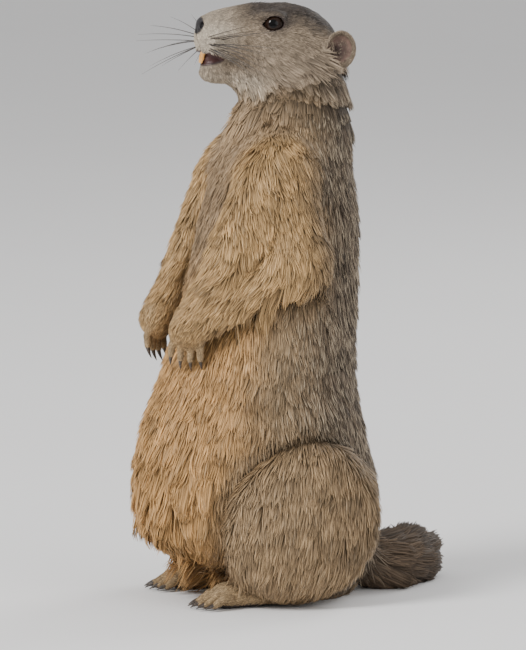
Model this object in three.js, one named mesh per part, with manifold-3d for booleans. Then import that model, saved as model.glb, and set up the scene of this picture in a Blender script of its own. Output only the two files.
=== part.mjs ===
// Alpine marmot, life-size, standing upright on its hind feet with its hands hanging before the belly.
// Millimetres, +Z up. The animal faces -Y and its left side is +X. The floor is z = 0.

import * as THREE from 'three';
import { mergeVertices } from 'three/addons/utils/BufferGeometryUtils.js';
import Module from 'manifold-3d';

const wasm = await Module();
wasm.setup();

const UP = new THREE.Vector3(0, 0, 1);
const DOWN = UP.clone().negate();

// Clearances between neighbouring pieces
const GAP = 0.3;
const CLEARANCE = GAP + 0.1;
const LOCK_CLEARANCE = 3 * GAP;
const TAIL_CLEARANCE = 7 * GAP;
const REACH = 400;
const MERGE = 0.002;

// Body from the floor to the nape, as level sections: the middle's place in Y and the half sizes
const BODY_STATIONS = [
  { z: 0, back: 28, depth: 44, width: 50 },
  { z: 18, back: 26, depth: 59, width: 66 },
  { z: 34, back: 15, depth: 77, width: 76 },
  { z: 55, back: 4, depth: 92, width: 83 },
  { z: 90, back: -1, depth: 97, width: 86 },
  { z: 130, back: -5, depth: 91, width: 82 },
  { z: 178, back: 0, depth: 79, width: 71 },
  { z: 233, back: 9, depth: 72, width: 62 },
  { z: 297, back: 17, depth: 65, width: 56 },
  { z: 341, back: 21, depth: 56, width: 50 },
  { z: 371, back: 27, depth: 49, width: 45 },
  { z: 400, back: 30, depth: 43, width: 40 },
  { z: 430, back: 27, depth: 36, width: 33 },
];
const TRUNK_SIDES = 24;
const TORSO_LEVELS = [-9, 4, 19, 35, 57, 88, 124, 162, 202, 246, 292, 334, 392];
const NECK_LEVELS = [336, 358, 378, 396, 412, 428];
const ARM_ROOM = 9;
const THIGH_ROOM = 12;
const THIGH_SEAM = 7;
const COAT_ROOM = 12;
const NAPE_TOP = 425;
const NAPE_CAP = 24;

// Head forms, each a rounded lump of bone and flesh; those off the middle are mirrored
const CRANIUM = { centre: [0, 16, 438], radii: [32, 44, 29] };
const FOREHEAD = { centre: [0, -14, 444], radii: [24, 34, 20] };
const CHEEK = { centre: [20, 15, 424], radii: [21, 28, 26] };
const WHISKER_PAD = { centre: [8.5, -35, 437], radii: [10.5, 14, 12.5] };
const BROW = { centre: [21, 2, 458.5], radii: [8, 13, 5] };
const CHIN = { centre: [0, -36, 414], radii: [11, 13, 9.5] };
const NOSE_LINE = { from: [0, -4, 446], to: [0, -34, 443.5], start: 19, end: 16 };
const JAW = { from: [0, -30, 415], to: [0, 12, 410], start: 10, end: 22 };
const HEAD_BLEND = 9;
const NECK_BLEND = 18;

// The thin cuts between head and neck and between neck and torso
const HEAD_CUT = {
  point: new THREE.Vector3(0, 27, 404),
  normal: new THREE.Vector3(0, -0.17, 0.985).normalize(),
};
const NECK_CUT = {
  point: new THREE.Vector3(0, 25, 362),
  normal: new THREE.Vector3(0, -0.2, 0.98).normalize(),
};

// Eyes and lids
const EYE = { x: 21.3, y: 5.2, z: 451.2, radius: 9 };
const EYE_AXIS = new THREE.Vector3(0.9, -0.36, 0.16).normalize();
const LID = { thickness: 1.2, length: 16.4, height: 11.4, slope: -0.12 };

// Mouth, lips, nostrils and the two upper incisors
const MOUTH = { front: -62, corner: -32, upper: 430.5, lower: 420.5, cornerZ: 424, width: 60 };
const LIP = { radius: 1.7, endRadius: 0.6, turn: 1.75, turns: 8, sink: 0.55 };
const MOUTH_FLOOR = { centre: [0, -26, 422.5], radii: [8.5, 15, 5.5] };
const NOSTRIL = { x: 5.6, y: -47.5, z: 451, radii: [2.1, 3.4, 3.6] };
const NOSE_PAD = { centre: [0, -44.5, 451.5], radii: [8, 6, 6] };
const PHILTRUM = { width: 0.9, depth: 2.6, top: 447, bottom: 429, front: -50.5, block: 20 };
const INCISOR = { width: 3.1, depth: 3, root: 434, tip: 421.5, y: -45.2, bow: 1.2, edge: 0.3 };

// Ears
const EAR = { x: 35.5, y: 55.5, z: 431.5, width: 13, height: 16.5, thickness: 6.5 };
const EAR_ROOT = { from: [24, 40, 427], start: 12, end: 9.5 };
const EAR_FACING = new THREE.Vector3(0.8, -0.58, 0.14).normalize();

// Arms: the joints of the left one, with the radius of the fur over each
const SHOULDER = { at: [40, 4, 338], radius: 30 };
const ELBOW = { at: [55, 12, 271], radius: 24 };
const WRIST = { at: [36, -70, 217], radius: 11.5 };
const DRAPE = { at: [45, -12, 322], radius: 26 };
const ARM_BLEND = 14;

// How far inside the trunk's surface a limb's blend with it starts
const UNDERLAP = 1.8;

// Hands, turned so that the row of fingers runs back and outward
const PALM_LENGTH = 15;
const PALM_RADIUS = 13;
const HAND_DIRECTION = new THREE.Vector3(-0.04, -0.12, -0.99).normalize();
const HAND_ACROSS = [0.62, 0.78, 0];
const FINGER = { count: 4, pitch: 6.3, length: 16, radius: 3.4, bow: 1.2 };
const FINGER_ROW = { shorter: 0.05, spread: 0.07, rooted: 7 };
const FINGER_CLAW = { length: 10, radius: 2 };

// Thighs and hind feet
const THIGH = { centre: [54, 9, 72], radii: [45, 66, 70], fullness: 2.6 };
const THIGH_BLEND = 20;
const HEEL = { at: [47, 4, 12] };
const BALL = { at: [51, -44, 9.5] };
const SOLE_RADII = [13, 14, 15.5, 14];
const SOLE_MIDDLE = 10.5;
const TOE = { count: 5, pitch: 6.6, length: 19, radius: 4.4 };
const TOE_ROW = { shorter: 0.07, spread: 0.06, rooted: 4 };
const TOE_LEVELS = { root: 8, knuckle: 9, end: 4.6 };
const TOE_CLAW = { length: 10, radius: 2.2 };

// Tail, laid on the floor behind and round to the right
const TAIL_PATH = [[0, 84, 26], [-16, 118, 17], [-46, 143, 16], [-84, 150, 14]];
const TAIL_RADII = [17, 21, 21, 7];
const TAIL_SPLIT = 0.55;
const TAIL_PIECES = 6;
const TAIL_BLEND = 4;

// Grids that the surfaces are found on: the low end, the high end and the spacing
const HEAD_GRID = { x: [-50, 50, 6.6], y: [-58, 92, 4.4, 13], z: [384, 474, 6.2] };
const ARM_GRID = { x: [8, 92, 13], y: [-92, 54, 13.5], z: [196, 382, 15] };
const ARM_REACH_GRID = { x: [-6, 104, 14], y: [-100, 70, 14], z: [180, 400, 14] };
const THIGH_GRID = { x: [22, 122, 17], y: [-88, 110, 19], z: [-9, 172, 18] };
const THIGH_REACH_GRID = { x: [-10, 130, 17], y: [-100, 120, 17], z: [-30, 180, 17] };
const TAIL_GRID = { x: [-120, 30, 14], y: [60, 185, 14], z: [-12, 52, 14] };

// Coat: how far the core lies inside the tips, where that begins under the face, and the locks of each region
const COAT_DEPTH = 3;
const COAT_START = { over: 16, slope: 0.17, span: 26 };
const SEED = 11;
const LOCKS = {
  ruff: { length: 32, width: 17, thickness: 4, lift: 6, sink: 2, pitch: 18.5, free: 0.5 },
  neck: { length: 36, width: 20, thickness: 3.6, lift: 4.5, sink: 3, pitch: 20, free: 0.6 },
  torso: { length: 60, width: 34, thickness: 4.6, lift: 6, sink: 3, pitch: 37, row: 43, free: 0.6 },
  arm: { length: 46, width: 31, thickness: 4, lift: 5, sink: 2.5, pitch: 35, free: 0.6 },
  fringe: { length: 28, width: 15, thickness: 3.8, lift: 3, sink: 2.5, pitch: 16.5, free: 0.25 },
  thigh: { length: 52, width: 33, thickness: 4.6, lift: 6, sink: 3, pitch: 37, free: 0.6 },
  tail: { length: 40, width: 21, thickness: 4.2, lift: 7, sink: 3, pitch: 28, free: 0.5 },
};

// Where the tiers of locks are rooted, and how far back the locks lean as they hang
const RUFF_ROOT = new THREE.Vector3(0, 24, 414);
const NECK_ROOT = new THREE.Vector3(0, 25, 392);
const RUFF_TILT = new THREE.Vector3(0, -0.22, 0.975).normalize();
const LEAN = { ruff: 0.2, neck: 0.1, torso: 0.06, thigh: 0.12 };
const ARM_TIERS = [-0.12, 0.28, 0.68];
const FOREARM_TIERS = [0.14, 0.42, 0.7];
const ARM_TIER_TOP = 362;
const ROOT_ROOM = 5;
const FRINGE_OUT = [0.8, 0.3, -0.5];
const FRINGE_SHARE = 0.86;
const TORSO_TIER_TOP = 352;
const TORSO_TIER_LOW = 46;
const THIGH_TIERS = [132, 100, 68, 40];
const TAIL_UNDERSIDE = 7;
const TAIL_BASE_TIERS = [0.1, 0.28, 0.44];
const TAIL_END_TIERS = [0.6, 0.76, 0.9];

// Finishes
const FINISH = {
  coat: { color: 0x7d6a52, roughness: 0.95, metalness: 0 },
  face: { color: 0x8d8068, roughness: 0.95, metalness: 0 },
  limb: { color: 0xa5814f, roughness: 0.95, metalness: 0 },
  tail: { color: 0x4a3a2a, roughness: 0.95, metalness: 0 },
  skin: { color: 0x2f2925, roughness: 0.7, metalness: 0 },
  eye: { color: 0x120c08, roughness: 0.08, metalness: 0 },
  tooth: { color: 0xd9a654, roughness: 0.35, metalness: 0 },
};

// Distance to an ellipsoid, near enough close to its surface
function lump(x, y, z, form) {
  const px = x - form.centre[0];
  const py = y - form.centre[1];
  const pz = z - form.centre[2];
  const [a, b, c] = form.radii;
  const near = Math.hypot(px / a, py / b, pz / c);
  const slope = Math.hypot(px / (a * a), py / (b * b), pz / (c * c));
  return slope < 1e-9 ? -Math.min(a, b, c) : (near * (near - 1)) / slope;
}

// Distance to a tapered round bar
function bar(x, y, z, from, to, start, end) {
  const [ax, ay, az] = from;
  const bx = to[0] - ax;
  const by = to[1] - ay;
  const bz = to[2] - az;
  const along = ((x - ax) * bx + (y - ay) * by + (z - az) * bz) / (bx * bx + by * by + bz * bz);
  const t = THREE.MathUtils.clamp(along, 0, 1);
  return Math.hypot(x - ax - bx * t, y - ay - by * t, z - az - bz * t) - THREE.MathUtils.lerp(start, end, t);
}

// Two distances joined with a soft fillet
function soften(a, b, fillet) {
  const overlap = Math.max(fillet - Math.abs(a - b), 0) / fillet;
  return Math.min(a, b) - overlap * overlap * fillet * 0.25;
}

// A station's value at any height, on a smooth curve through all of them
function stationValue(z, key) {
  const last = BODY_STATIONS.length - 1;
  const level = THREE.MathUtils.clamp(z, BODY_STATIONS[0].z, BODY_STATIONS[last].z);
  let i = 0;
  while (i < last - 1 && BODY_STATIONS[i + 1].z < level) i += 1;
  const slope = (k) => {
    const low = BODY_STATIONS[Math.max(k - 1, 0)];
    const high = BODY_STATIONS[Math.min(k + 1, last)];
    return (high[key] - low[key]) / (high.z - low.z);
  };
  const low = BODY_STATIONS[i];
  const high = BODY_STATIONS[i + 1];
  const span = high.z - low.z;
  const t = (level - low.z) / span;
  const rise = high[key] - low[key];
  const startBend = span * slope(i) - rise;
  const endBend = rise - span * slope(i + 1);
  return low[key] + rise * t + t * (1 - t) * ((1 - t) * startBend + t * endBend);
}

function bodyField(x, y, z) {
  const depth = stationValue(z, 'depth');
  const width = stationValue(z, 'width');
  const over = Math.max(z - NAPE_TOP, 0) / NAPE_CAP;
  const round = Math.hypot(x / width, (y - stationValue(z, 'back')) / depth, over);
  return (round - 1) * Math.min(width, depth);
}

function headField(x, y, z) {
  const side = Math.abs(x);
  let d = soften(lump(side, y, z, CRANIUM), lump(side, y, z, FOREHEAD), HEAD_BLEND);
  d = soften(d, lump(side, y, z, CHEEK), HEAD_BLEND);
  d = soften(d, bar(side, y, z, NOSE_LINE.from, NOSE_LINE.to, NOSE_LINE.start, NOSE_LINE.end), HEAD_BLEND);
  d = soften(d, bar(side, y, z, JAW.from, JAW.to, JAW.start, JAW.end), HEAD_BLEND);
  d = soften(d, lump(side, y, z, WHISKER_PAD), HEAD_BLEND / 2);
  d = soften(d, lump(side, y, z, CHIN), HEAD_BLEND / 2);
  d = soften(d, lump(side, y, z, NOSE_PAD), HEAD_BLEND / 3);
  return soften(d, lump(side, y, z, BROW), HEAD_BLEND / 2);
}

// Trunk, neck and head as one form
function trunkField(x, y, z) {
  return soften(bodyField(x, y, z), headField(x, y, z), NECK_BLEND);
}

// How far the core lies inside the coat's tips: none on the face, all of it below the ruff
function inset(x, y, z) {
  const under = (HEAD_CUT.point.z + COAT_START.over - z) + (y - HEAD_CUT.point.y) * COAT_START.slope;
  return COAT_DEPTH * THREE.MathUtils.smoothstep(under, 0, COAT_START.span);
}

function coreField(x, y, z) {
  return trunkField(x, y, z) + inset(x, y, z);
}

function armField(x, y, z) {
  let d = bar(x, y, z, SHOULDER.at, ELBOW.at, SHOULDER.radius, ELBOW.radius);
  d = soften(d, bar(x, y, z, ELBOW.at, WRIST.at, ELBOW.radius, WRIST.radius), ARM_BLEND);
  d = soften(d, bar(x, y, z, DRAPE.at, WRIST.at, DRAPE.radius, WRIST.radius), ARM_BLEND);
  return d + COAT_DEPTH * THREE.MathUtils.smoothstep(z, WRIST.at[2], ELBOW.at[2]);
}

// A haunch is fuller toward its rim than an egg
function thighField(x, y, z) {
  const [across, along, up] = [x, y, z].map((v, n) => Math.abs(v - THIGH.centre[n]) / THIGH.radii[n]);
  const near = (across ** THIGH.fullness + Math.hypot(along, up) ** THIGH.fullness) ** (1 / THIGH.fullness);
  return (near - 1) * Math.min(...THIGH.radii) + COAT_DEPTH;
}

// The slope of a field, as a unit vector out of the form
function outward(field, x, y, z) {
  const step = 0.05;
  return new THREE.Vector3(
    field(x + step, y, z) - field(x - step, y, z),
    field(x, y + step, z) - field(x, y - step, z),
    field(x, y, z + step) - field(x, y, z - step),
  ).normalize();
}

// Grid lines from low to high, whose spacing runs from one size to another
function gridLines(low, high, first, last = first) {
  const lines = [low];
  while (lines[lines.length - 1] < high) {
    const at = lines[lines.length - 1];
    lines.push(at + THREE.MathUtils.lerp(first, last, (at - low) / (high - low)));
  }
  return lines;
}

// Grid lines of a limb, the same on either side of the body
function sideLines(near, far, step, side) {
  return gridLines(near, far, step).map((x) => x * side).sort((a, b) => a - b);
}

// The closed surface where a field is zero, one point to each grid cell that it passes through.
// The form is cut off flat where it leaves the grid, for a thin cut to trim.
function formSurface(field, xs, ys, zs) {
  const [nx, ny, nz] = [xs.length, ys.length, zs.length];
  const index = (i, j, k) => (i * ny + j) * nz + k;
  const values = new Float64Array(nx * ny * nz);
  const rim = (i, j, k) => i === 0 || j === 0 || k === 0 || i === nx - 1 || j === ny - 1 || k === nz - 1;
  for (let i = 0; i < nx; i += 1)
    for (let j = 0; j < ny; j += 1)
      for (let k = 0; k < nz; k += 1)
        values[index(i, j, k)] = rim(i, j, k) ? 1 : field(xs[i], ys[j], zs[k]);

  const corners = [0, 1, 2, 3, 4, 5, 6, 7].map((n) => [n & 1, (n >> 1) & 1, n >> 2]);
  const edges = [];
  corners.forEach((a, m) => corners.forEach((b, n) => {
    const steps = Math.abs(a[0] - b[0]) + Math.abs(a[1] - b[1]) + Math.abs(a[2] - b[2]);
    if (n > m && steps === 1) edges.push([m, n]);
  }));

  const points = [];
  const pointOf = new Map();
  const cellPoint = (i, j, k) => {
    const key = index(i, j, k);
    if (pointOf.has(key)) return pointOf.get(key);
    const sum = new THREE.Vector3();
    let crossings = 0;
    for (const [m, n] of edges) {
      const a = corners[m];
      const b = corners[n];
      const va = values[index(i + a[0], j + a[1], k + a[2])];
      const vb = values[index(i + b[0], j + b[1], k + b[2])];
      if (va < 0 === vb < 0) continue;
      const t = va / (va - vb);
      sum.x += THREE.MathUtils.lerp(xs[i + a[0]], xs[i + b[0]], t);
      sum.y += THREE.MathUtils.lerp(ys[j + a[1]], ys[j + b[1]], t);
      sum.z += THREE.MathUtils.lerp(zs[k + a[2]], zs[k + b[2]], t);
      crossings += 1;
    }
    sum.divideScalar(crossings);
    const inner = i > 0 && j > 0 && k > 0 && i < nx - 2 && j < ny - 2 && k < nz - 2;
    for (let pass = 0; inner && pass < 3; pass += 1) {
      const away = field(sum.x, sum.y, sum.z);
      sum.addScaledVector(outward(field, sum.x, sum.y, sum.z), -away * 0.9);
    }
    points.push(sum.x, sum.y, sum.z);
    pointOf.set(key, points.length / 3 - 1);
    return points.length / 3 - 1;
  };

  const faces = [];
  const distance = (a, b) => Math.hypot(...[0, 1, 2].map((n) => points[3 * a + n] - points[3 * b + n]));
  const quad = (a, b, c, d, flip) => {
    const [p, q, r, s] = flip ? [a, d, c, b] : [a, b, c, d];
    if (distance(p, r) < distance(q, s)) faces.push(p, q, r, p, r, s);
    else faces.push(q, r, s, q, s, p);
  };
  for (let i = 1; i < nx; i += 1)
    for (let j = 1; j < ny; j += 1)
      for (let k = 1; k < nz; k += 1) {
        const inside = values[index(i, j, k)] < 0;
        const crosses = (di, dj, dk) => values[index(i - di, j - dj, k - dk)] < 0 !== inside;
        if (crosses(1, 0, 0))
          quad(cellPoint(i - 1, j - 1, k - 1), cellPoint(i - 1, j, k - 1), cellPoint(i - 1, j, k),
            cellPoint(i - 1, j - 1, k), inside);
        if (crosses(0, 1, 0))
          quad(cellPoint(i - 1, j - 1, k - 1), cellPoint(i - 1, j - 1, k), cellPoint(i, j - 1, k),
            cellPoint(i, j - 1, k - 1), inside);
        if (crosses(0, 0, 1))
          quad(cellPoint(i - 1, j - 1, k - 1), cellPoint(i, j - 1, k - 1), cellPoint(i, j, k - 1),
            cellPoint(i - 1, j, k - 1), inside);
      }
  const geometry = new THREE.BufferGeometry();
  geometry.setAttribute('position', new THREE.Float32BufferAttribute(points, 3));
  geometry.setIndex(faces);
  return geometry;
}

function gridSurface(field, grid) {
  return formSurface(field, gridLines(...grid.x), gridLines(...grid.y), gridLines(...grid.z));
}

function sideSurface(field, grid, side) {
  return formSurface(field, sideLines(...grid.x, side), gridLines(...grid.y), gridLines(...grid.z));
}

// A copy of a surface, moved out along the field's slope
function grown(geometry, field, by) {
  const copy = geometry.clone();
  const at = copy.attributes.position;
  for (let n = 0; n < at.count; n += 1) {
    const out = outward(field, at.getX(n), at.getY(n), at.getZ(n));
    at.setXYZ(n, at.getX(n) + out.x * by, at.getY(n) + out.y * by, at.getZ(n) + out.z * by);
  }
  return copy;
}

// A closed skin over a row of rings, with a point at each end
function loft(rings, start, end) {
  const sides = rings[0].length;
  const points = [start, ...rings.flat(), end];
  const last = points.length - 1;
  const faces = [];
  for (let n = 0; n < sides; n += 1) {
    const next = (n + 1) % sides;
    faces.push(0, 1 + next, 1 + n);
    for (let ring = 0; ring < rings.length - 1; ring += 1) {
      const low = 1 + ring * sides;
      const high = low + sides;
      faces.push(low + n, low + next, high + next, low + n, high + next, high + n);
    }
    faces.push(last, last - sides + n, last - sides + next);
  }
  const geometry = new THREE.BufferGeometry();
  geometry.setAttribute('position', new THREE.Float32BufferAttribute(points.flatMap((p) => p.toArray()), 3));
  geometry.setIndex(faces);
  return geometry;
}

// A round, tapered length along a smooth curve; flatness under 1 makes it wider than it is thick
function taperedLength(points, radii, sides, ringCount, flatness = 1, wideAxis = new THREE.Vector3(1, 0, 0)) {
  const curve = new THREE.CatmullRomCurve3(points);
  const rings = [];
  for (let ring = 0; ring < ringCount; ring += 1) {
    const t = ring / (ringCount - 1);
    const centre = curve.getPoint(t);
    const along = curve.getTangent(t);
    const wide = wideAxis.clone().addScaledVector(along, -wideAxis.dot(along)).normalize();
    const thick = along.clone().cross(wide);
    const slot = t * (radii.length - 1);
    const first = Math.min(Math.floor(slot), radii.length - 2);
    const radius = THREE.MathUtils.lerp(radii[first], radii[first + 1], slot - first);
    rings.push(Array.from({ length: sides }, (_, n) => {
      const turn = (2 * Math.PI * (n + 0.5)) / sides;
      return centre.clone()
        .addScaledVector(wide, Math.cos(turn) * radius)
        .addScaledVector(thick, Math.sin(turn) * radius * flatness);
    }));
  }
  const cap = (t, direction, radius) => (
    curve.getPoint(t).addScaledVector(curve.getTangent(t), direction * radius));
  const lastRadius = radii[radii.length - 1];
  return loft(rings, cap(0, -0.6, radii[0]), cap(1, lastRadius < 1 ? 1.5 : 0.6, lastRadius));
}

// Seeded draws between 0 and 1
function seededDraws(seed) {
  let state = seed;
  return () => {
    state = (state * 1664525 + 1013904223) % 4294967296;
    return state / 4294967296;
  };
}

const draw = seededDraws(SEED);

function about(value, share) {
  return value * (1 + share * (2 * draw() - 1));
}

// How a point is drawn on to a surface: passes, and the share of the way that each goes
const SETTLE_PASSES = 4;
const SETTLE_SHARE = 0.85;

// A point drawn on to the surface of a field
function settle(field, point) {
  for (let pass = 0; pass < SETTLE_PASSES; pass += 1) {
    const out = outward(field, point.x, point.y, point.z);
    point.addScaledVector(out, -SETTLE_SHARE * field(point.x, point.y, point.z));
  }
  return point;
}

// A flat, tapered lock: from a root under the surface it widens, bends, lies along the surface and lifts
// at its tip. Shares give the place of each ring along it, its width and its underside's height.
const LOCK_RINGS = [
  { along: 0.32, width: 1, height: 0 },
  { along: 0.68, width: 0.76, height: 0.45 },
];
const SHORTEST_LOCK = 0.6;
const SHORTENING = 0.12;
const HUG = 0.8;
const KEEL_WIDTH = 18;

// How much locks vary: length, width and lift as shares of their own, and sway as a turn
const VARY = { length: 0.14, width: 0.12, lift: 0.3, sway: 0.24 };

function lockPlan(field, root, lie, size, clear = () => true) {
  const drawn = {
    length: about(size.length, VARY.length),
    sway: (2 * draw() - 1) * VARY.sway,
    lift: about(size.lift, VARY.lift),
    width: about(size.width, VARY.width),
  };
  for (let share = 1; share > SHORTEST_LOCK; share -= SHORTENING) {
    const plan = laidLock(field, root, lie, size, { ...drawn, length: drawn.length * share });
    if (lockPoints(plan).every(clear)) return plan;
  }
  return null;
}

// The places and directions of a lock's rings and tip, found by walking over the surface
function laidLock(field, root, lie, size, { length, sway, lift, width }) {
  const at = settle(field, root.clone());
  const heading = lie(at).normalize();
  heading.applyAxisAngle(outward(field, at.x, at.y, at.z), sway);
  const steps = [];
  let gone = 0;
  for (const share of [0, ...LOCK_RINGS.map((ring) => ring.along), 1]) {
    const out = outward(field, at.x, at.y, at.z);
    if (gone < size.free) heading.addScaledVector(out, -heading.dot(out)).normalize();
    at.addScaledVector(heading, (share - gone) * length);
    if (share < size.free) settle(field, at);
    const normal = outward(field, at.x, at.y, at.z);
    const across = heading.clone().addScaledVector(normal, -heading.dot(normal)).normalize().cross(normal);
    steps.push({ at: at.clone(), normal, across });
    gone = share;
  }
  return { field, steps, lift, width, size };
}

// A point drawn to a height over a field's surface, or only up to it
function raised(field, point, height, exactly) {
  const out = outward(field, point.x, point.y, point.z);
  const rise = height - field(point.x, point.y, point.z);
  return point.addScaledVector(out, exactly ? rise : Math.max(rise, 0));
}

function lockRings({ field, steps, lift, width, size }, spare) {
  return LOCK_RINGS.map((ring, n) => {
    const { at, normal, across } = steps[n + 1];
    const half = (width * ring.width) / 2 + spare * 2;
    const place = (way) => raised(field, at.clone().addScaledVector(across, way * half),
      HUG + lift * ring.height - spare, ring.along < size.free);
    const ridge = place(0).addScaledVector(normal, size.thickness * ring.width + 2 * spare);
    return size.width > KEEL_WIDTH ? [place(1), ridge, place(-1), place(0)] : [place(1), ridge, place(-1)];
  });
}

function lockTip({ field, steps, lift }, spare) {
  const tip = steps[steps.length - 1];
  const forward = tip.across.clone().cross(tip.normal).negate();
  return raised(field, tip.at.clone(), lift, false).addScaledVector(forward, spare * 2);
}

function lockPoints(plan) {
  return [...lockRings(plan, 0).flat(), lockTip(plan, 0)];
}

function lockSolid(plan, spare = 0) {
  const [root] = plan.steps;
  const start = root.at.clone().addScaledVector(root.normal, -plan.size.sink - spare);
  return solidOf(loft(lockRings(plan, spare), start, lockTip(plan, spare)));
}

// Locks joined with each other, and the same a little larger for neighbours to keep clear of
function coatOf(plans) {
  return {
    solid: wasm.Manifold.union(plans.map((plan) => lockSolid(plan))),
    grown: wasm.Manifold.union(plans.map((plan) => lockSolid(plan, LOCK_CLEARANCE))),
  };
}

// How far roots may stray: along their tier as a share of the pitch and out of it as a share of a lock's
// length, and how close two of them may be as a share of the pitch
const STRAY = { along: 0.3, out: 0.12, closest: 0.7 };

// Locks in tiers round the trunk or a limb, those of each tier between those of the one before
function tierPlans(field, tiers, size, lie, allowed, clear = () => true) {
  const roots = [];
  tiers.forEach(({ middle, normal }, row) => {
    const front = new THREE.Vector3(0, -1, 0).addScaledVector(normal, normal.y).normalize();
    const beside = normal.clone().cross(front);
    const inner = (turn) => (
      front.clone().multiplyScalar(Math.cos(turn)).addScaledVector(beside, Math.sin(turn)));
    const girth = Math.PI * surfacePoint(field, middle, inner(Math.PI / 2)).distanceTo(middle)
      + Math.PI * surfacePoint(field, middle, inner(0)).distanceTo(middle);
    const count = Math.round(girth / size.pitch);
    for (let n = 0; n < count; n += 1) {
      const turn = ((n + (row % 2) / 2 + STRAY.along * (draw() - 0.5)) * 2 * Math.PI) / count;
      const root = surfacePoint(field, middle, inner(turn));
      root.addScaledVector(normal, STRAY.out * size.length * (draw() - 0.5));
      const apart = roots.every((other) => other.distanceTo(root) > size.pitch * STRAY.closest);
      if (allowed(root) && apart) roots.push(root);
    }
  });
  return roots.map((root) => lockPlan(field, root, lie, size, clear)).filter((plan) => plan);
}

// Geometry to a solid for joins and cuts, and back
function solidOf(geometry) {
  const bare = geometry.clone();
  bare.deleteAttribute('normal');
  bare.deleteAttribute('uv');
  const merged = mergeVertices(bare, MERGE / 10);
  const vertProperties = new Float32Array(merged.attributes.position.array);
  const triVerts = new Uint32Array(merged.index.array);
  const solid = new wasm.Manifold(new wasm.Mesh({ numProp: 3, vertProperties, triVerts }));
  if (solid.volume() > 0) return solid;
  return new wasm.Manifold(new wasm.Mesh({ numProp: 3, vertProperties, triVerts: triVerts.reverse() }));
}

// The largest closed surface of a solid, filled
function largestOf(solid) {
  return solid.decompose().sort((a, b) => b.volume() - a.volume())[0];
}

function geometryOf(solid) {
  const mesh = solid.getMesh();
  const geometry = new THREE.BufferGeometry();
  geometry.setAttribute('position', new THREE.Float32BufferAttribute(mesh.vertProperties, 3));
  geometry.setIndex(new THREE.Uint32BufferAttribute(mesh.triVerts, 1));
  return geometry;
}

// The largest body once corners that all but touch have been merged
function settled(solid) {
  return largestOf(solidOf(mergeVertices(geometryOf(solid), MERGE)));
}

// The half of space on the side that a plane's normal points away from
function halfSpace(point, normal) {
  const block = new THREE.BoxGeometry(2 * REACH, 2 * REACH, REACH);
  block.translate(0, 0, -REACH / 2);
  block.applyQuaternion(new THREE.Quaternion().setFromUnitVectors(new THREE.Vector3(0, 0, 1), normal));
  block.translate(point.x, point.y, point.z);
  return solidOf(block);
}

const belowFloor = halfSpace(new THREE.Vector3(0, 0, 0), UP);

function above(cut) {
  const point = cut.point.clone().addScaledVector(cut.normal, GAP / 2);
  return halfSpace(point, cut.normal.clone().negate());
}

function below(cut) {
  return halfSpace(cut.point.clone().addScaledVector(cut.normal, -GAP / 2), cut.normal);
}

// A form written for the left side, for either side
function onSide(field, side) {
  return (x, y, z) => field(x * side, y, z);
}

function mirrored(point, side) {
  return new THREE.Vector3(point[0] * side, point[1], point[2]);
}

// A length of the trunk, as level rings between points on its core's surface
function trunkLength(levels) {
  const ring = (z) => Array.from({ length: TRUNK_SIDES }, (_, n) => {
    const turn = (2 * Math.PI * (n + 0.5)) / TRUNK_SIDES;
    const from = new THREE.Vector3(0, stationValue(z, 'back'), z);
    return surfacePoint(coreField, from, new THREE.Vector3(Math.sin(turn), -Math.cos(turn), 0));
  });
  const middle = (z) => new THREE.Vector3(0, stationValue(z, 'back'), z);
  return loft(levels.map(ring), middle(levels[0]), middle(levels[levels.length - 1]));
}

// Torso
const torsoSurface = trunkLength(TORSO_LEVELS);

function torsoCore() {
  return solidOf(torsoSurface).intersect(below(NECK_CUT)).subtract(belowFloor);
}

// Neck
const neckSurface = trunkLength(NECK_LEVELS);

function neckCore() {
  return solidOf(neckSurface).intersect(above(NECK_CUT)).intersect(below(HEAD_CUT));
}

// What a piece that lies against the torso or neck is cut clear of
const torsoGrown = solidOf(grown(torsoSurface, coreField, CLEARANCE));
const neckGrown = solidOf(grown(neckSurface, coreField, CLEARANCE));
const trunkGrown = torsoGrown.add(neckGrown);

// Where a straight line from inside a field meets its surface
function surfacePoint(field, from, direction) {
  let low = 0;
  let high = REACH / 2;
  for (let pass = 0; pass < 40; pass += 1) {
    const middle = (low + high) / 2;
    const at = from.clone().addScaledVector(direction, middle);
    if (field(at.x, at.y, at.z) < 0) low = middle;
    else high = middle;
  }
  return from.clone().addScaledVector(direction, low);
}

// The line of a lip: round the muzzle from one corner of the mouth to the other
function lip(edgeZ) {
  const points = [];
  for (let n = -LIP.turns; n <= LIP.turns; n += 1) {
    const turn = (n / LIP.turns) * LIP.turn;
    const share = Math.abs(n / LIP.turns) ** 3;
    const from = new THREE.Vector3(0, MOUTH.corner - 2, THREE.MathUtils.lerp(edgeZ, MOUTH.cornerZ, share));
    const out = new THREE.Vector3(Math.sin(turn), -Math.cos(turn), 0);
    points.push(surfacePoint(headField, from, out).addScaledVector(out, -LIP.radius * LIP.sink));
  }
  const radii = [LIP.endRadius, LIP.radius, LIP.radius, LIP.radius, LIP.endRadius];
  return solidOf(taperedLength(points, radii, 4, 10));
}

// The flesh of the tongue, which fills the back of the open mouth
function mouthFloor() {
  const geometry = new THREE.SphereGeometry(1, 10, 7).scale(...MOUTH_FLOOR.radii);
  return solidOf(geometry.translate(...MOUTH_FLOOR.centre));
}

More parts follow.
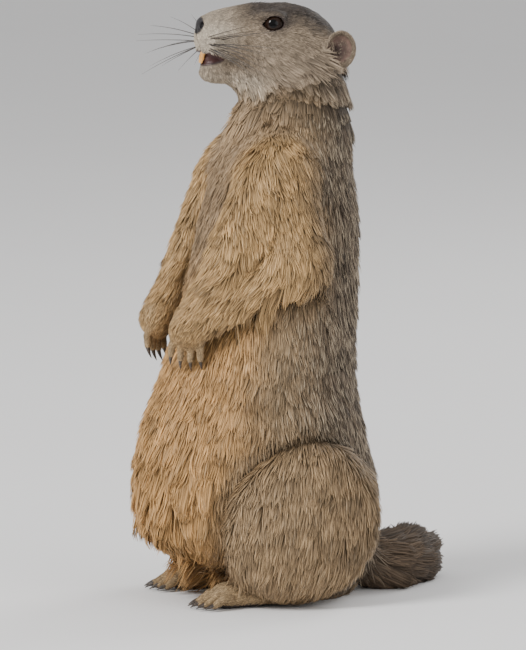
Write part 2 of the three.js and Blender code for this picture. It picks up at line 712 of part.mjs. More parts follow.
// The open mouth, a wedge right across the muzzle that closes at its corners
function mouthOpening() {
  const wedge = new THREE.Shape();
  wedge.moveTo(MOUTH.front, MOUTH.upper);
  wedge.quadraticCurveTo(MOUTH.corner - 6, MOUTH.upper + 0.5, MOUTH.corner, MOUTH.cornerZ);
  wedge.quadraticCurveTo(MOUTH.corner - 4, MOUTH.lower + 0.5, MOUTH.front, MOUTH.lower - 1);
  const settings = { depth: MOUTH.width, bevelEnabled: false, curveSegments: 5 };
  const geometry = new THREE.ExtrudeGeometry(wedge, settings);
  geometry.translate(0, 0, -MOUTH.width / 2);
  geometry.rotateY(Math.PI / 2);
  geometry.rotateX(Math.PI / 2);
  return solidOf(geometry);
}

// The frame of an eye: its own axis, and the length of its lids
function eyeFrame(side) {
  const out = new THREE.Vector3(EYE_AXIS.x * side, EYE_AXIS.y, EYE_AXIS.z);
  const along = new THREE.Vector3(0, 1, LID.slope).addScaledVector(out, -out.y).normalize();
  along.addScaledVector(out, -along.dot(out)).normalize();
  const up = out.clone().cross(along).multiplyScalar(side > 0 ? 1 : -1);
  return { out, along, up, centre: new THREE.Vector3(EYE.x * side, EYE.y, EYE.z) };
}

function eyeBall(side, radius, sides = 12) {
  const ball = new THREE.SphereGeometry(radius, sides, Math.round(sides * 0.7));
  const frame = eyeFrame(side);
  ball.applyQuaternion(new THREE.Quaternion().setFromUnitVectors(new THREE.Vector3(0, 1, 0), frame.out));
  ball.translate(frame.centre.x, frame.centre.y, frame.centre.z);
  return solidOf(ball);
}

// The almond between the lids, from the middle of the eye outward
function lidOpening(side) {
  const frame = eyeFrame(side);
  const almond = new THREE.Shape();
  almond.moveTo(-LID.length / 2, 0);
  almond.quadraticCurveTo(-LID.length / 6, LID.height * 0.98, LID.length / 2, 0.6);
  almond.quadraticCurveTo(LID.length / 8, -LID.height * 0.95, -LID.length / 2, 0);
  const geometry = new THREE.ExtrudeGeometry(almond, { depth: 20, bevelEnabled: false, curveSegments: 6 });
  const up = frame.out.clone().cross(frame.along);
  geometry.applyMatrix4(new THREE.Matrix4().makeBasis(frame.along, up, frame.out).setPosition(frame.centre));
  return solidOf(geometry);
}

function nostril(side) {
  const hollow = new THREE.SphereGeometry(1, 8, 6);
  hollow.scale(...NOSTRIL.radii);
  hollow.rotateY(-0.5 * side);
  hollow.rotateZ(0.5 * side);
  hollow.translate(NOSTRIL.x * side, NOSTRIL.y, NOSTRIL.z);
  return solidOf(hollow);
}

function philtrum() {
  const groove = new THREE.BoxGeometry(PHILTRUM.width, PHILTRUM.block, PHILTRUM.top - PHILTRUM.bottom);
  const back = PHILTRUM.front + PHILTRUM.depth;
  groove.translate(0, back - PHILTRUM.block / 2, (PHILTRUM.top + PHILTRUM.bottom) / 2);
  return solidOf(groove);
}

function incisorBlock(side, spare) {
  const [half, deep] = [INCISOR.width / 2 + spare, INCISOR.depth / 2 + spare];
  const middle = side * (INCISOR.width / 2 + GAP / 2);
  const ring = (z, y, share) => [[-1, -1], [1, -1], [1, 1], [-1, 1]].map(([x, back]) => (
    new THREE.Vector3(middle + x * half, INCISOR.y + y + back * deep * share, z)));
  return solidOf(loft(
    [
      ring(INCISOR.root + spare, 0, 1),
      ring((INCISOR.root + INCISOR.tip) / 2, -INCISOR.bow, 1),
      ring(INCISOR.tip, 0, INCISOR.edge),
    ],
    new THREE.Vector3(middle, INCISOR.y, INCISOR.root + spare + 0.2),
    new THREE.Vector3(middle, INCISOR.y, INCISOR.tip - 0.2),
  ));
}

// Head with mouth, lips, lids and nostrils
const headSurface = gridSurface(coreField, HEAD_GRID);

function headCore() {
  let solid = solidOf(headSurface).intersect(above(HEAD_CUT));
  solid = solid.subtract(mouthOpening()).add(mouthFloor());
  solid = solid.add(lip(MOUTH.upper + 0.4)).add(lip(MOUTH.lower - 1));
  for (const side of [1, -1]) {
    solid = solid.add(eyeBall(side, EYE.radius + GAP + LID.thickness));
    solid = solid.subtract(lidOpening(side)).subtract(eyeBall(side, EYE.radius + GAP));
    solid = solid.subtract(nostril(side)).subtract(incisorBlock(side, GAP));
  }
  return largestOf(solid.subtract(philtrum()));
}
const headGrown = solidOf(grown(headSurface, coreField, CLEARANCE));

function eye(side) {
  return eyeBall(side, EYE.radius);
}

function incisor(side) {
  return incisorBlock(side, 0);
}

// Ear: a rounded cup whose rim stands round the hollow
function ear(side) {
  const facing = new THREE.Vector3(EAR_FACING.x * side, EAR_FACING.y, EAR_FACING.z);
  const wide = new THREE.Vector3().crossVectors(UP, facing).normalize();
  const tall = new THREE.Vector3().crossVectors(facing, wide);
  const place = (geometry, out) => {
    geometry.applyMatrix4(new THREE.Matrix4().makeBasis(wide, tall, facing));
    geometry.translate(EAR.x * side + facing.x * out, EAR.y + facing.y * out, EAR.z + facing.z * out);
    return solidOf(geometry);
  };
  const cup = place(new THREE.SphereGeometry(1, 12, 7).scale(EAR.width, EAR.height, EAR.thickness), 0);
  const rootEnd = new THREE.Vector3(EAR.x * side, EAR.y, EAR.z).addScaledVector(tall, -EAR.height * 0.4)
    .addScaledVector(facing, -EAR.thickness * 0.4);
  const root = solidOf(taperedLength([mirrored(EAR_ROOT.from, side), rootEnd],
    [EAR_ROOT.start, EAR_ROOT.end], 8, 2, 0.7, tall));
  const outer = cup.add(root);
  const hollow = place(
    new THREE.SphereGeometry(1, 9, 5).scale(EAR.width * 0.74, EAR.height * 0.78, EAR.thickness * 0.9),
    EAR.thickness * 0.62,
  );
  return largestOf(outer.subtract(hollow).subtract(headGrown));
}

// Arm, cut clear of the torso that it hangs against
function armBlend(side) {
  const field = onSide(armField, side);
  return (x, y, z) => soften(field(x, y, z), coreField(x, y, z) + UNDERLAP, ARM_BLEND);
}

function armSurface(side) {
  return sideSurface(armBlend(side), ARM_GRID, side);
}

function armReach(side) {
  const field = onSide(armField, side);
  const wide = (x, y, z) => field(x, y, z) - ARM_ROOM;
  return solidOf(sideSurface(wide, ARM_REACH_GRID, side));
}

function wristCut(side) {
  const from = mirrored(ELBOW.at, side);
  const to = mirrored(WRIST.at, side);
  const down = mirrored(HAND_DIRECTION.toArray(), side);
  const normal = to.clone().sub(from).normalize().lerp(down, 0.6).normalize();
  return { point: to.clone().addScaledVector(normal, 3), normal };
}

function armCore(side) {
  const solid = solidOf(armSurface(side)).intersect(armReach(side)).subtract(trunkGrown);
  return largestOf(solid.intersect(below(wristCut(side))));
}

// Claw: a curved, pointed cone from the end of a digit
function claw(from, direction, droop, size) {
  const at = (ahead, down) => (
    from.clone().addScaledVector(direction, size.length * ahead).addScaledVector(droop, size.length * down));
  const middle = at(0.5, 0.1);
  const tip = at(0.92, 0.42);
  const start = from.clone().addScaledVector(direction, -size.radius * 1.6);
  return taperedLength([start, middle, tip], [size.radius, size.radius * 0.8, 0.35], 4, 3);
}

function handFrame(side) {
  const down = mirrored(HAND_DIRECTION.toArray(), side);
  const across = mirrored(HAND_ACROSS, side);
  across.addScaledVector(down, -down.dot(across)).normalize();
  const wrist = mirrored(WRIST.at, side);
  return { down, across, wrist, palmEnd: wrist.clone().addScaledVector(down, PALM_LENGTH) };
}

// The palm, for the hand itself or, with some spare and length, for the fur that hangs over it
function palmBlock(side, spare, longer) {
  const { down, across, wrist, palmEnd } = handFrame(side);
  const radii = [0.9, 1, 1, 0.85].map((share) => PALM_RADIUS * share + spare);
  return solidOf(taperedLength(
    [wrist.clone().addScaledVector(down, -8), wrist.clone().addScaledVector(down, PALM_LENGTH * 0.4),
      palmEnd.clone().addScaledVector(down, longer)],
    radii, 10, 5, 0.6, across,
  ));
}

// Hand: a palm and its fingers with claws
function hand(side) {
  const { down, across, palmEnd } = handFrame(side);
  const inward = new THREE.Vector3(0, 1, 0).addScaledVector(across, -across.y).normalize();
  let solid = palmBlock(side, 0, 0);
  for (let n = 0; n < FINGER.count; n += 1) {
    const offset = n - (FINGER.count - 1) / 2;
    const length = FINGER.length * (1 - FINGER_ROW.shorter * offset * offset);
    const spread = across.clone().multiplyScalar(offset * FINGER_ROW.spread);
    const direction = down.clone().add(spread).normalize();
    const root = palmEnd.clone().addScaledVector(across, offset * FINGER.pitch)
      .addScaledVector(down, -FINGER_ROW.rooted);
    const knuckle = root.clone().addScaledVector(direction, length * 0.6)
      .addScaledVector(inward, -FINGER.bow);
    const end = root.clone().addScaledVector(direction, length);
    solid = solid.add(solidOf(taperedLength(
      [root, knuckle, end], [FINGER.radius, FINGER.radius, FINGER.radius * 0.8], 5, 3, 0.9, across,
    )));
    solid = solid.add(solidOf(claw(end, direction, inward, FINGER_CLAW)));
  }
  return largestOf(solid.intersect(above(wristCut(side))).subtract(trunkGrown));
}

// Thigh and haunch, cut clear of the torso
function thighBlend(side) {
  const field = onSide(thighField, side);
  return (x, y, z) => soften(field(x, y, z), coreField(x, y, z) + UNDERLAP, THIGH_BLEND);
}

function thighSurface(side) {
  return sideSurface(thighBlend(side), THIGH_GRID, side);
}

function thighReach(side) {
  const wide = (x, y, z) => thighField(x * side, y, z) - THIGH_ROOM;
  return solidOf(sideSurface(wide, THIGH_REACH_GRID, side));
}

function thighCore(side) {
  const solid = solidOf(thighSurface(side)).intersect(thighReach(side)).subtract(trunkGrown);
  return largestOf(solid.subtract(belowFloor));
}

function thighGrown(side) {
  return solidOf(grown(thighSurface(side), thighBlend(side), CLEARANCE));
}

// The sole from the heel to the ball, for the foot itself or, with some spare, for what hangs over it
function footFrame(side) {
  const heel = mirrored(HEEL.at, side);
  const ball = mirrored(BALL.at, side);
  const forward = ball.clone().sub(heel).setZ(0).normalize();
  return { heel, ball, forward, across: new THREE.Vector3(forward.y, -forward.x, 0) };
}

function footBlock(side, spare) {
  const { heel, ball, forward, across } = footFrame(side);
  const middle = heel.clone().lerp(ball, 0.5).setZ(SOLE_MIDDLE);
  const front = ball.clone().addScaledVector(forward, spare * TOE.length);
  const radii = SOLE_RADII.map((radius) => radius + spare);
  return solidOf(taperedLength([heel, middle, front], radii, 10, 5, 0.8, across));
}

// Hind foot: a flat sole and its toes with claws
function foot(side) {
  const { ball, forward, across } = footFrame(side);
  let solid = footBlock(side, 0);
  for (let n = 0; n < TOE.count; n += 1) {
    const offset = n - (TOE.count - 1) / 2;
    const length = TOE.length * (1 - TOE_ROW.shorter * offset * offset);
    const direction = forward.clone().addScaledVector(across, offset * TOE_ROW.spread).normalize();
    const root = ball.clone().addScaledVector(across, offset * TOE.pitch)
      .addScaledVector(forward, TOE_ROW.rooted).setZ(TOE_LEVELS.root);
    const knuckle = root.clone().addScaledVector(direction, length * 0.45).setZ(TOE_LEVELS.knuckle);
    const end = root.clone().addScaledVector(direction, length).setZ(TOE_LEVELS.end);
    solid = solid.add(solidOf(taperedLength(
      [root, knuckle, end], [TOE.radius, TOE.radius * 1.05, TOE.radius * 0.8], 5, 3, 1, across,
    )));
    solid = solid.add(solidOf(claw(end, direction.clone().setZ(0.1).normalize(), DOWN, TOE_CLAW)));
  }
  return largestOf(solid.subtract(belowFloor).subtract(trunkGrown).subtract(thighGrown(side)));
}

// Tail, in two lengths
const tailCurve = new THREE.CatmullRomCurve3(TAIL_PATH.map((p) => new THREE.Vector3(...p)));
const TAIL_CUT = { point: tailCurve.getPoint(TAIL_SPLIT), normal: tailCurve.getTangent(TAIL_SPLIT) };

function tailLength() {
  return solidOf(taperedLength(
    TAIL_PATH.map((p) => new THREE.Vector3(...p)), TAIL_RADII, 12, 9, 1, new THREE.Vector3(0, 1, 0.01),
  ));
}

// Distance to the tail, as a row of tapered bars between points of its curve
function tailField(x, y, z) {
  let d = Infinity;
  for (let n = 0; n < TAIL_PIECES; n += 1) {
    const [from, to] = [n / TAIL_PIECES, (n + 1) / TAIL_PIECES];
    const next = bar(x, y, z, tailCurve.getPoint(from).toArray(), tailCurve.getPoint(to).toArray(),
      tailRadius(from), tailRadius(to));
    d = d === Infinity ? next : soften(d, next, TAIL_BLEND);
  }
  return d;
}

function tailRadius(t) {
  const slot = t * (TAIL_RADII.length - 1);
  const first = Math.min(Math.floor(slot), TAIL_RADII.length - 2);
  return THREE.MathUtils.lerp(TAIL_RADII[first], TAIL_RADII[first + 1], slot - first);
}

// Locks of the trunk, the arms and the thighs keep to their own room beside each other
function inArmRoom(p) {
  return armField(Math.abs(p.x), p.y, p.z) < ARM_ROOM || coreField(p.x, p.y, p.z) > COAT_ROOM;
}

function inThighRoom(p) {
  return thighField(Math.abs(p.x), p.y, p.z) < THIGH_SEAM || coreField(p.x, p.y, p.z) > COAT_ROOM;
}

function inTrunkRoom(p) {
  const [x, y, z] = [Math.abs(p.x), p.y, p.z];
  return armField(x, y, z) > ARM_ROOM + 1 && thighField(x, y, z) > THIGH_SEAM + 1.5;
}

// The trunk with the thighs that swell from it, for the locks that run from one on to the other
function flankField(x, y, z) {
  return Math.min(coreField(x, y, z), thighBlend(1)(Math.abs(x), y, z));
}

// The coat, region by region: its locks lie down and back, and along each limb and the tail
function lieDown(back) {
  return () => new THREE.Vector3(0, back, -1);
}

function ruffPlans() {
  const tiers = [{ middle: RUFF_ROOT, normal: RUFF_TILT }];
  return tierPlans(coreField, tiers, LOCKS.ruff, lieDown(LEAN.ruff), () => true);
}

function neckPlans() {
  const tiers = [{ middle: NECK_ROOT, normal: RUFF_TILT }];
  const allowed = (p) => armField(Math.abs(p.x), p.y, p.z) > ROOT_ROOM;
  return tierPlans(coreField, tiers, LOCKS.neck, lieDown(LEAN.neck), allowed);
}

// Tiers at even steps along a line, each square to it
function tiersAlong(from, to, shares) {
  const normal = from.clone().sub(to).normalize();
  return shares.map((share) => ({ middle: from.clone().lerp(to, share), normal }));
}

function armPlans(side) {
  const field = armBlend(side);
  const shoulder = mirrored(SHOULDER.at, side);
  const elbow = mirrored(ELBOW.at, side);
  const wrist = mirrored(WRIST.at, side);
  const along = wrist.clone().sub(elbow).normalize();
  const lie = (p) => along.clone().lerp(DOWN, 0.3 + 0.6 * THREE.MathUtils.smoothstep(p.z, 250, 330));
  const fringe = fringePlans(side);
  const allowed = (p) => coreField(p.x, p.y, p.z) > ROOT_ROOM && p.z < ARM_TIER_TOP
    && fringe.every((plan) => plan.steps[0].at.distanceTo(p) > LOCKS.fringe.pitch);
  const tiers = [...tiersAlong(shoulder, elbow, ARM_TIERS), ...tiersAlong(elbow, wrist, FOREARM_TIERS)];
  return [...tierPlans(field, tiers, LOCKS.arm, lie, allowed, inArmRoom), ...fringe];
}

// The fringe that hangs from the outer edge of the forearm
function fringePlans(side) {
  const field = armBlend(side);
  const elbow = mirrored(ELBOW.at, side);
  const wrist = mirrored(WRIST.at, side);
  const out = mirrored(FRINGE_OUT, side).normalize();
  const count = Math.round((elbow.distanceTo(wrist) * FRINGE_SHARE) / LOCKS.fringe.pitch);
  const lie = () => wrist.clone().sub(elbow).normalize().lerp(DOWN, 0.75);
  return Array.from({ length: count }, (_, n) => {
    const bone = elbow.clone().lerp(wrist, ((n + 0.3 * draw()) / count) * FRINGE_SHARE);
    return lockPlan(field, surfacePoint(field, bone, out), lie, LOCKS.fringe);
  }).filter((plan) => plan);
}

function torsoPlans() {
  const count = Math.round((TORSO_TIER_TOP - TORSO_TIER_LOW) / LOCKS.torso.row);
  const tiers = Array.from({ length: count + 1 }, (_, n) => {
    const z = THREE.MathUtils.lerp(TORSO_TIER_TOP, TORSO_TIER_LOW, n / count);
    const tilt = -0.2 * THREE.MathUtils.smoothstep(z, 250, TORSO_TIER_TOP);
    const normal = new THREE.Vector3(0, tilt, 1).normalize();
    return { middle: new THREE.Vector3(0, stationValue(z, 'back'), z), normal };
  });
  const rooted = (p) => inTrunkRoom(p) && thighField(Math.abs(p.x), p.y, p.z) > THIGH_ROOM + 2;
  return tierPlans(flankField, tiers, LOCKS.torso, lieDown(LEAN.torso), rooted, inTrunkRoom);
}

function thighPlans(side) {
  const field = thighBlend(side);
  const middle = (z) => new THREE.Vector3(THIGH.centre[0] * side, THIGH.centre[1], z);
  const tiers = THIGH_TIERS.map((z) => ({ middle: middle(z), normal: UP }));
  const allowed = (p) => coreField(p.x, p.y, p.z) > 1 && inThighRoom(p);
  return tierPlans(field, tiers, LOCKS.thigh, lieDown(LEAN.thigh), allowed, inThighRoom);
}

function tailPlans(shares) {
  const tiers = shares.map((share) => (
    { middle: tailCurve.getPoint(share), normal: tailCurve.getTangent(share).negate() }));
  const lie = (p) => {
    const nearest = tiers.reduce((best, tier) => (
      tier.middle.distanceTo(p) < best.middle.distanceTo(p) ? tier : best));
    return nearest.normal.clone().negate();
  };
  const allowed = (p) => p.z > TAIL_UNDERSIDE && coreField(p.x, p.y, p.z) > TAIL_BLEND;
  return tierPlans(tailField, tiers, LOCKS.tail, lie, allowed);
}

function tailBaseCore() {
  return largestOf(tailLength().intersect(below(TAIL_CUT)).subtract(trunkGrown).subtract(belowFloor));
}

function tailEndCore() {
  return largestOf(tailLength().intersect(above(TAIL_CUT)).subtract(belowFloor));
}

const SIDES = [['left', 1], ['right', -1]];

// The group, one mesh to a part of the body
const marmot = new THREE.Group();

function addPart(name, solid, finish) {
  const mesh = new THREE.Mesh(geometryOf(settled(solid)), new THREE.MeshStandardMaterial(FINISH[finish]));
  mesh.geometry.computeVertexNormals();
  mesh.name = name;
  marmot.add(mesh);
}

// Each piece keeps clear of the cores beside it and of the locks of those made before it
const headCoat = coatOf(ruffPlans());
const neckCoat = coatOf(neckPlans());
const torsoCoat = coatOf(torsoPlans());
const armSolids = SIDES.map(([, side]) => armCore(side));
const thighSolids = SIDES.map(([, side]) => thighCore(side));
const armsGrown = SIDES.map(([, side]) => solidOf(grown(armSurface(side), armBlend(side), CLEARANCE)));
const thighsGrown = SIDES.map(([, side]) => thighGrown(side));
const armCoats = SIDES.map(([, side]) => coatOf(armPlans(side)));
const thighCoats = SIDES.map(([, side]) => coatOf(thighPlans(side)));

function clearOf(solid, others) {
  return others.reduce((rest, other) => rest.subtract(other), solid);
}

const tailSurface = gridSurface(tailField, TAIL_GRID);
const tailGrown = solidOf(grown(tailSurface, tailField, TAIL_CLEARANCE));
addPart('head', headCore().add(clearOf(headCoat.solid, [neckGrown.intersect(below(HEAD_CUT))])), 'face');
addPart('neck', neckCore().add(clearOf(neckCoat.solid, [headCoat.grown, ...armsGrown])), 'coat');
addPart('torso', torsoCore().add(clearOf(torsoCoat.solid,
  [neckCoat.grown, ...armsGrown, ...thighsGrown, ...armCoats.map((c) => c.grown),
    ...thighCoats.map((c) => c.grown), ...thighCoats.map((c) => c.solid), tailGrown, belowFloor])), 'coat');
SIDES.forEach(([name, side], n) => {
  addPart('eye_' + name, eye(side), 'eye');
  addPart('ear_' + name, clearOf(ear(side), [headCoat.grown, headCoat.solid]), 'face');
  addPart('incisor_' + name, incisor(side), 'tooth');
  addPart('arm_' + name, armSolids[n].add(clearOf(armCoats[n].solid,
    [trunkGrown, headCoat.grown, neckCoat.grown, palmBlock(side, 1.8, FINGER.length)])), 'limb');
  addPart('hand_' + name, hand(side), 'skin');
  addPart('thigh_' + name, thighSolids[n].add(clearOf(thighCoats[n].solid,
    [trunkGrown, footBlock(side, 1), belowFloor])), 'limb');
  addPart('foot_' + name, foot(side), 'skin');
});
const baseCoat = coatOf(tailPlans(TAIL_BASE_TIERS));
const endCoat = coatOf(tailPlans(TAIL_END_TIERS));
addPart('tail_base', tailBaseCore().add(clearOf(baseCoat.solid,
  [trunkGrown, torsoCoat.grown, endCoat.grown, above(TAIL_CUT), belowFloor])), 'tail');
addPart('tail_end', tailEndCore().add(clearOf(endCoat.solid, [below(TAIL_CUT), belowFloor])), 'tail');

// The origin is on the floor under the middle of the whole animal's box
const box = new THREE.Box3().setFromObject(marmot);
const middle = box.getCenter(new THREE.Vector3());
for (const mesh of marmot.children) mesh.geometry.translate(-middle.x, -middle.y, -box.min.z);

export default marmot;
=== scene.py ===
"""Looks of a life-size alpine marmot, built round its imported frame.

Shapes are worked out in millimetres in the animal's own frame: it faces -Y, its left side is +X and the
floor is z = 0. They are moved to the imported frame, in metres, when a mesh is made.
"""

from __future__ import annotations

import logging
import math
from dataclasses import dataclass, field
from enum import Enum
from typing import Any, Callable, Sequence

import bpy
import numpy as np
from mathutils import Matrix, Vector
from mathutils.kdtree import KDTree

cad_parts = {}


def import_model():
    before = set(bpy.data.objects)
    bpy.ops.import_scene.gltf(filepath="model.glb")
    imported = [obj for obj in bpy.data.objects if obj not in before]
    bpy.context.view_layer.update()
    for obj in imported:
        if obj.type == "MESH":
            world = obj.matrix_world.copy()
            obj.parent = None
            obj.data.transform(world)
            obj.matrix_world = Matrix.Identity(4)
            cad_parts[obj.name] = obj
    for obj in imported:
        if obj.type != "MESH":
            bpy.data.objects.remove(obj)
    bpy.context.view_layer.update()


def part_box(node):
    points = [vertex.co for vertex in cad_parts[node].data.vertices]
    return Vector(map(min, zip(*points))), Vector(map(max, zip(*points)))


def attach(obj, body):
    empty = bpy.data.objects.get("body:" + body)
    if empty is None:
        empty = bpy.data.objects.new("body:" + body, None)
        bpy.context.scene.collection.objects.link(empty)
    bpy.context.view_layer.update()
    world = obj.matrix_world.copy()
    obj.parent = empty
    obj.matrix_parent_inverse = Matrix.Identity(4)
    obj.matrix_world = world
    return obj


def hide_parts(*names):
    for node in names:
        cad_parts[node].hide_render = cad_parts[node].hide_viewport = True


LOG = logging.getLogger("marmot")
MM = 0.001
SEED = 7
BODY = "root"
TINY = 1e-9
SLOPE_STEP = 0.06
LINE_REACH = 140.0
LINE_HALVINGS = 34
LONG_HAIR = (0.0, 0.4, 0.76)
SHORT_HAIR = (0.0, 0.55)
SKEW = (0.31, 0.22, 0.93)

Array = np.ndarray
Pair = tuple[float, float]
Triple = tuple[float, float, float]
Shares = dict[str, Array]
Field = Callable[[Array], Array]
SIDES: tuple[tuple[str, float], ...] = (("left", 1.0), ("right", -1.0))


# Shapes as distance fields


def unit(v: Array) -> Array:
    """Vectors at unit length."""
    return v / np.maximum(np.linalg.norm(v, axis=-1, keepdims=True), TINY)


def smooth(x: Array | float, low: float, high: float) -> Array:
    """A soft step from 0 at low to 1 at high."""
    t = np.clip((np.asarray(x, float) - low) / (high - low), 0.0, 1.0)
    return t * t * (3.0 - 2.0 * t)


@dataclass(frozen=True)
class Fade:
    """A soft step from 0 at one value to 1 at another."""

    low: float
    high: float

    def __call__(self, x: Array | float) -> Array:
        """How far along the step values are."""
        return smooth(x, self.low, self.high)


def lerp(a: Any, b: Any, t: Any) -> Any:
    """The value that lies a share t of the way from a to b."""
    a, b = np.asarray(a), np.asarray(b)
    return a + (b - a) * t


def soften(a: Array, b: Array, fillet: Array | float) -> Array:
    """Two distances joined with a soft fillet."""
    overlap = np.maximum(fillet - np.abs(a - b), 0.0) / fillet
    return np.minimum(a, b) - overlap * overlap * fillet * 0.25


def sided(p: Array) -> Array:
    """Points with the right side folded over on to the left."""
    folded = p.copy()
    folded[..., 0] = np.abs(folded[..., 0])
    return folded


@dataclass(frozen=True)
class Lump:
    """A rounded form of bone and flesh."""

    centre: Triple
    radii: Triple

    def __call__(self, p: Array) -> Array:
        """Distance to the form, near enough close to its surface."""
        offset = p - np.asarray(self.centre)
        radii = np.asarray(self.radii)
        near = np.linalg.norm(offset / radii, axis=-1)
        slope = np.linalg.norm(offset / radii**2, axis=-1)
        value = near * (near - 1.0) / np.maximum(slope, 1e-6)
        return np.where(slope < 1e-6, -min(self.radii), value)


@dataclass(frozen=True)
class Bar:
    """A tapered round bar, thinner along one axis where flatness is under 1."""

    start: Triple
    end: Triple
    start_radius: float
    end_radius: float
    thin: Triple | None = None
    flatness: float = 1.0

    def __call__(self, p: Array) -> Array:
        """Distance to the bar."""
        start = np.asarray(self.start)
        axis = np.asarray(self.end) - start
        offset = p - start
        t = np.clip(offset @ axis / (axis @ axis), 0.0, 1.0)
        aside = offset - t[..., None] * axis
        if self.thin is not None:
            thin = np.asarray(self.thin)
            aside = aside + (aside @ thin)[..., None] * thin * (1.0 / self.flatness - 1.0)
        return np.linalg.norm(aside, axis=-1) - lerp(self.start_radius, self.end_radius, t)


@dataclass(frozen=True)
class Form:
    """A form softened into the body inside its own zone; under a level it may join tightly, with a crease."""

    low: Triple
    high: Triple
    shape: Field
    fillet: float
    tight: float | None = None
    tight_under: float = 0.0
    tight_span: float = 45.0
    crease: float = 0.0
    crease_width: float = 6.0

    def inside(self, p: Array) -> Array:
        """Which points are in the zone."""
        return np.all((p >= np.asarray(self.low)) & (p <= np.asarray(self.high)), axis=-1)

    def join(self, p: Array, d: Array) -> None:
        """Softens the form into the distances of points in its zone."""
        near = self.inside(p)
        if not near.any():
            return
        own, body = self.shape(p[near]), d[near]
        if self.tight is None:
            d[near] = soften(body, own, self.fillet)
            return
        loose = smooth(p[near][..., 2], self.tight_under, self.tight_under + self.tight_span)
        groove = self.crease * (1 - loose) * np.exp(-(((own - body) / self.crease_width) ** 2))
        d[near] = soften(body, own, lerp(self.tight, self.fillet, loose)) + groove


def slope_of(shape: Field, p: Array) -> tuple[Array, Array]:
    """The unit slope of a field at points, and its values over the slope's length."""
    slope = np.empty_like(p)
    for axis in range(3):
        shift = np.zeros(3)
        shift[axis] = SLOPE_STEP
        slope[..., axis] = (shape(p + shift) - shape(p - shift)) / (2 * SLOPE_STEP)
    length = np.maximum(np.linalg.norm(slope, axis=-1), 1e-3)
    return slope / length[..., None], shape(p) / length


def surface_points(shape: Field, start: Array, way: Array) -> Array:
    """Where straight lines from inside a field meet its surface.

    Args:
        shape: the field.
        start: one starting point for each line.
        way: the unit direction of each line.

    Returns:
        One point on the surface for each line.
    """
    low = np.zeros(len(start))
    high = np.full(len(start), LINE_REACH)
    for _ in range(LINE_HALVINGS):
        middle = (low + high) / 2
        within = shape(start + middle[:, None] * way) < 0
        low = np.where(within, middle, low)
        high = np.where(within, high, middle)
    return start + low[:, None] * way


def curve_through(points: Sequence[Triple], count: int) -> Array:
    """Even steps along a smooth curve through points."""
    knots = np.asarray(points, float)
    knots = np.vstack([2 * knots[0] - knots[1], knots, 2 * knots[-1] - knots[-2]])
    places = np.linspace(0, len(points) - 1, count)
    first = np.minimum(places.astype(int), len(points) - 2)
    t = (places - first)[:, None]
    a, b, c, d = (knots[first + n] for n in range(4))
    bow, swing = 2 * a - 5 * b + 4 * c - d, 3 * b - a - 3 * c + d
    return 0.5 * (2 * b + (c - a) * t + bow * t**2 + swing * t**3)


def chain(points: Array, radii: Sequence[float], fillet: float) -> Field:
    """A row of tapered bars along points, softened into one another."""
    spread = np.interp(np.linspace(0, 1, len(points)), np.linspace(0, 1, len(radii)), radii)
    bars = [Bar(tuple(a), tuple(b), r, s) for a, b, r, s in zip(points, points[1:], spread, spread[1:])]

    def shape(p: Array) -> Array:
        """Distance to the row."""
        d = bars[0](p)
        for bar in bars[1:]:
            d = soften(d, bar(p), fillet)
        return d

    return shape


# The animal


@dataclass(frozen=True)
class Trunk:
    """The body from the floor to the nape, as level sections on smooth curves."""

    levels: tuple[float, ...] = (0, 18, 34, 55, 90, 130, 178, 233, 297, 341, 371, 400, 430)
    middles: tuple[float, ...] = (28, 26, 15, 4, -1, -5, 0, 9, 17, 21, 27, 30, 27)
    depths: tuple[float, ...] = (44, 59, 77, 92, 97, 91, 79, 72, 65, 56, 49, 43, 36)
    widths: tuple[float, ...] = (50, 66, 76, 83, 86, 82, 71, 62, 56, 50, 45, 40, 33)
    nape_top: float = 425.0
    nape_cap: float = 24.0

    def along(self, values: tuple[float, ...], z: Array) -> Array:
        """A section size at any height."""
        levels = np.asarray(self.levels, float)
        sizes = np.asarray(values, float)
        z = np.clip(z, levels[0], levels[-1])
        i = np.clip(np.searchsorted(levels, z, side="right") - 1, 0, len(levels) - 2)
        row = np.arange(len(levels))
        low, high = np.maximum(row - 1, 0), np.minimum(row + 1, len(levels) - 1)
        slopes = (sizes[high] - sizes[low]) / (levels[high] - levels[low])
        span, rise = levels[i + 1] - levels[i], sizes[i + 1] - sizes[i]
        t = (z - levels[i]) / span
        bend = (1 - t) * (span * slopes[i] - rise) + t * (rise - span * slopes[i + 1])
        return sizes[i] + rise * t + t * (1 - t) * bend

    def __call__(self, p: Array) -> Array:
        """Distance to the body."""
        depth, width = self.along(self.depths, p[..., 2]), self.along(self.widths, p[..., 2])
        across = (p[..., 1] - self.along(self.middles, p[..., 2])) / depth
        over = np.maximum(p[..., 2] - self.nape_top, 0) / self.nape_cap
        return (np.sqrt((p[..., 0] / width) ** 2 + across**2 + over**2) - 1) * np.minimum(width, depth)


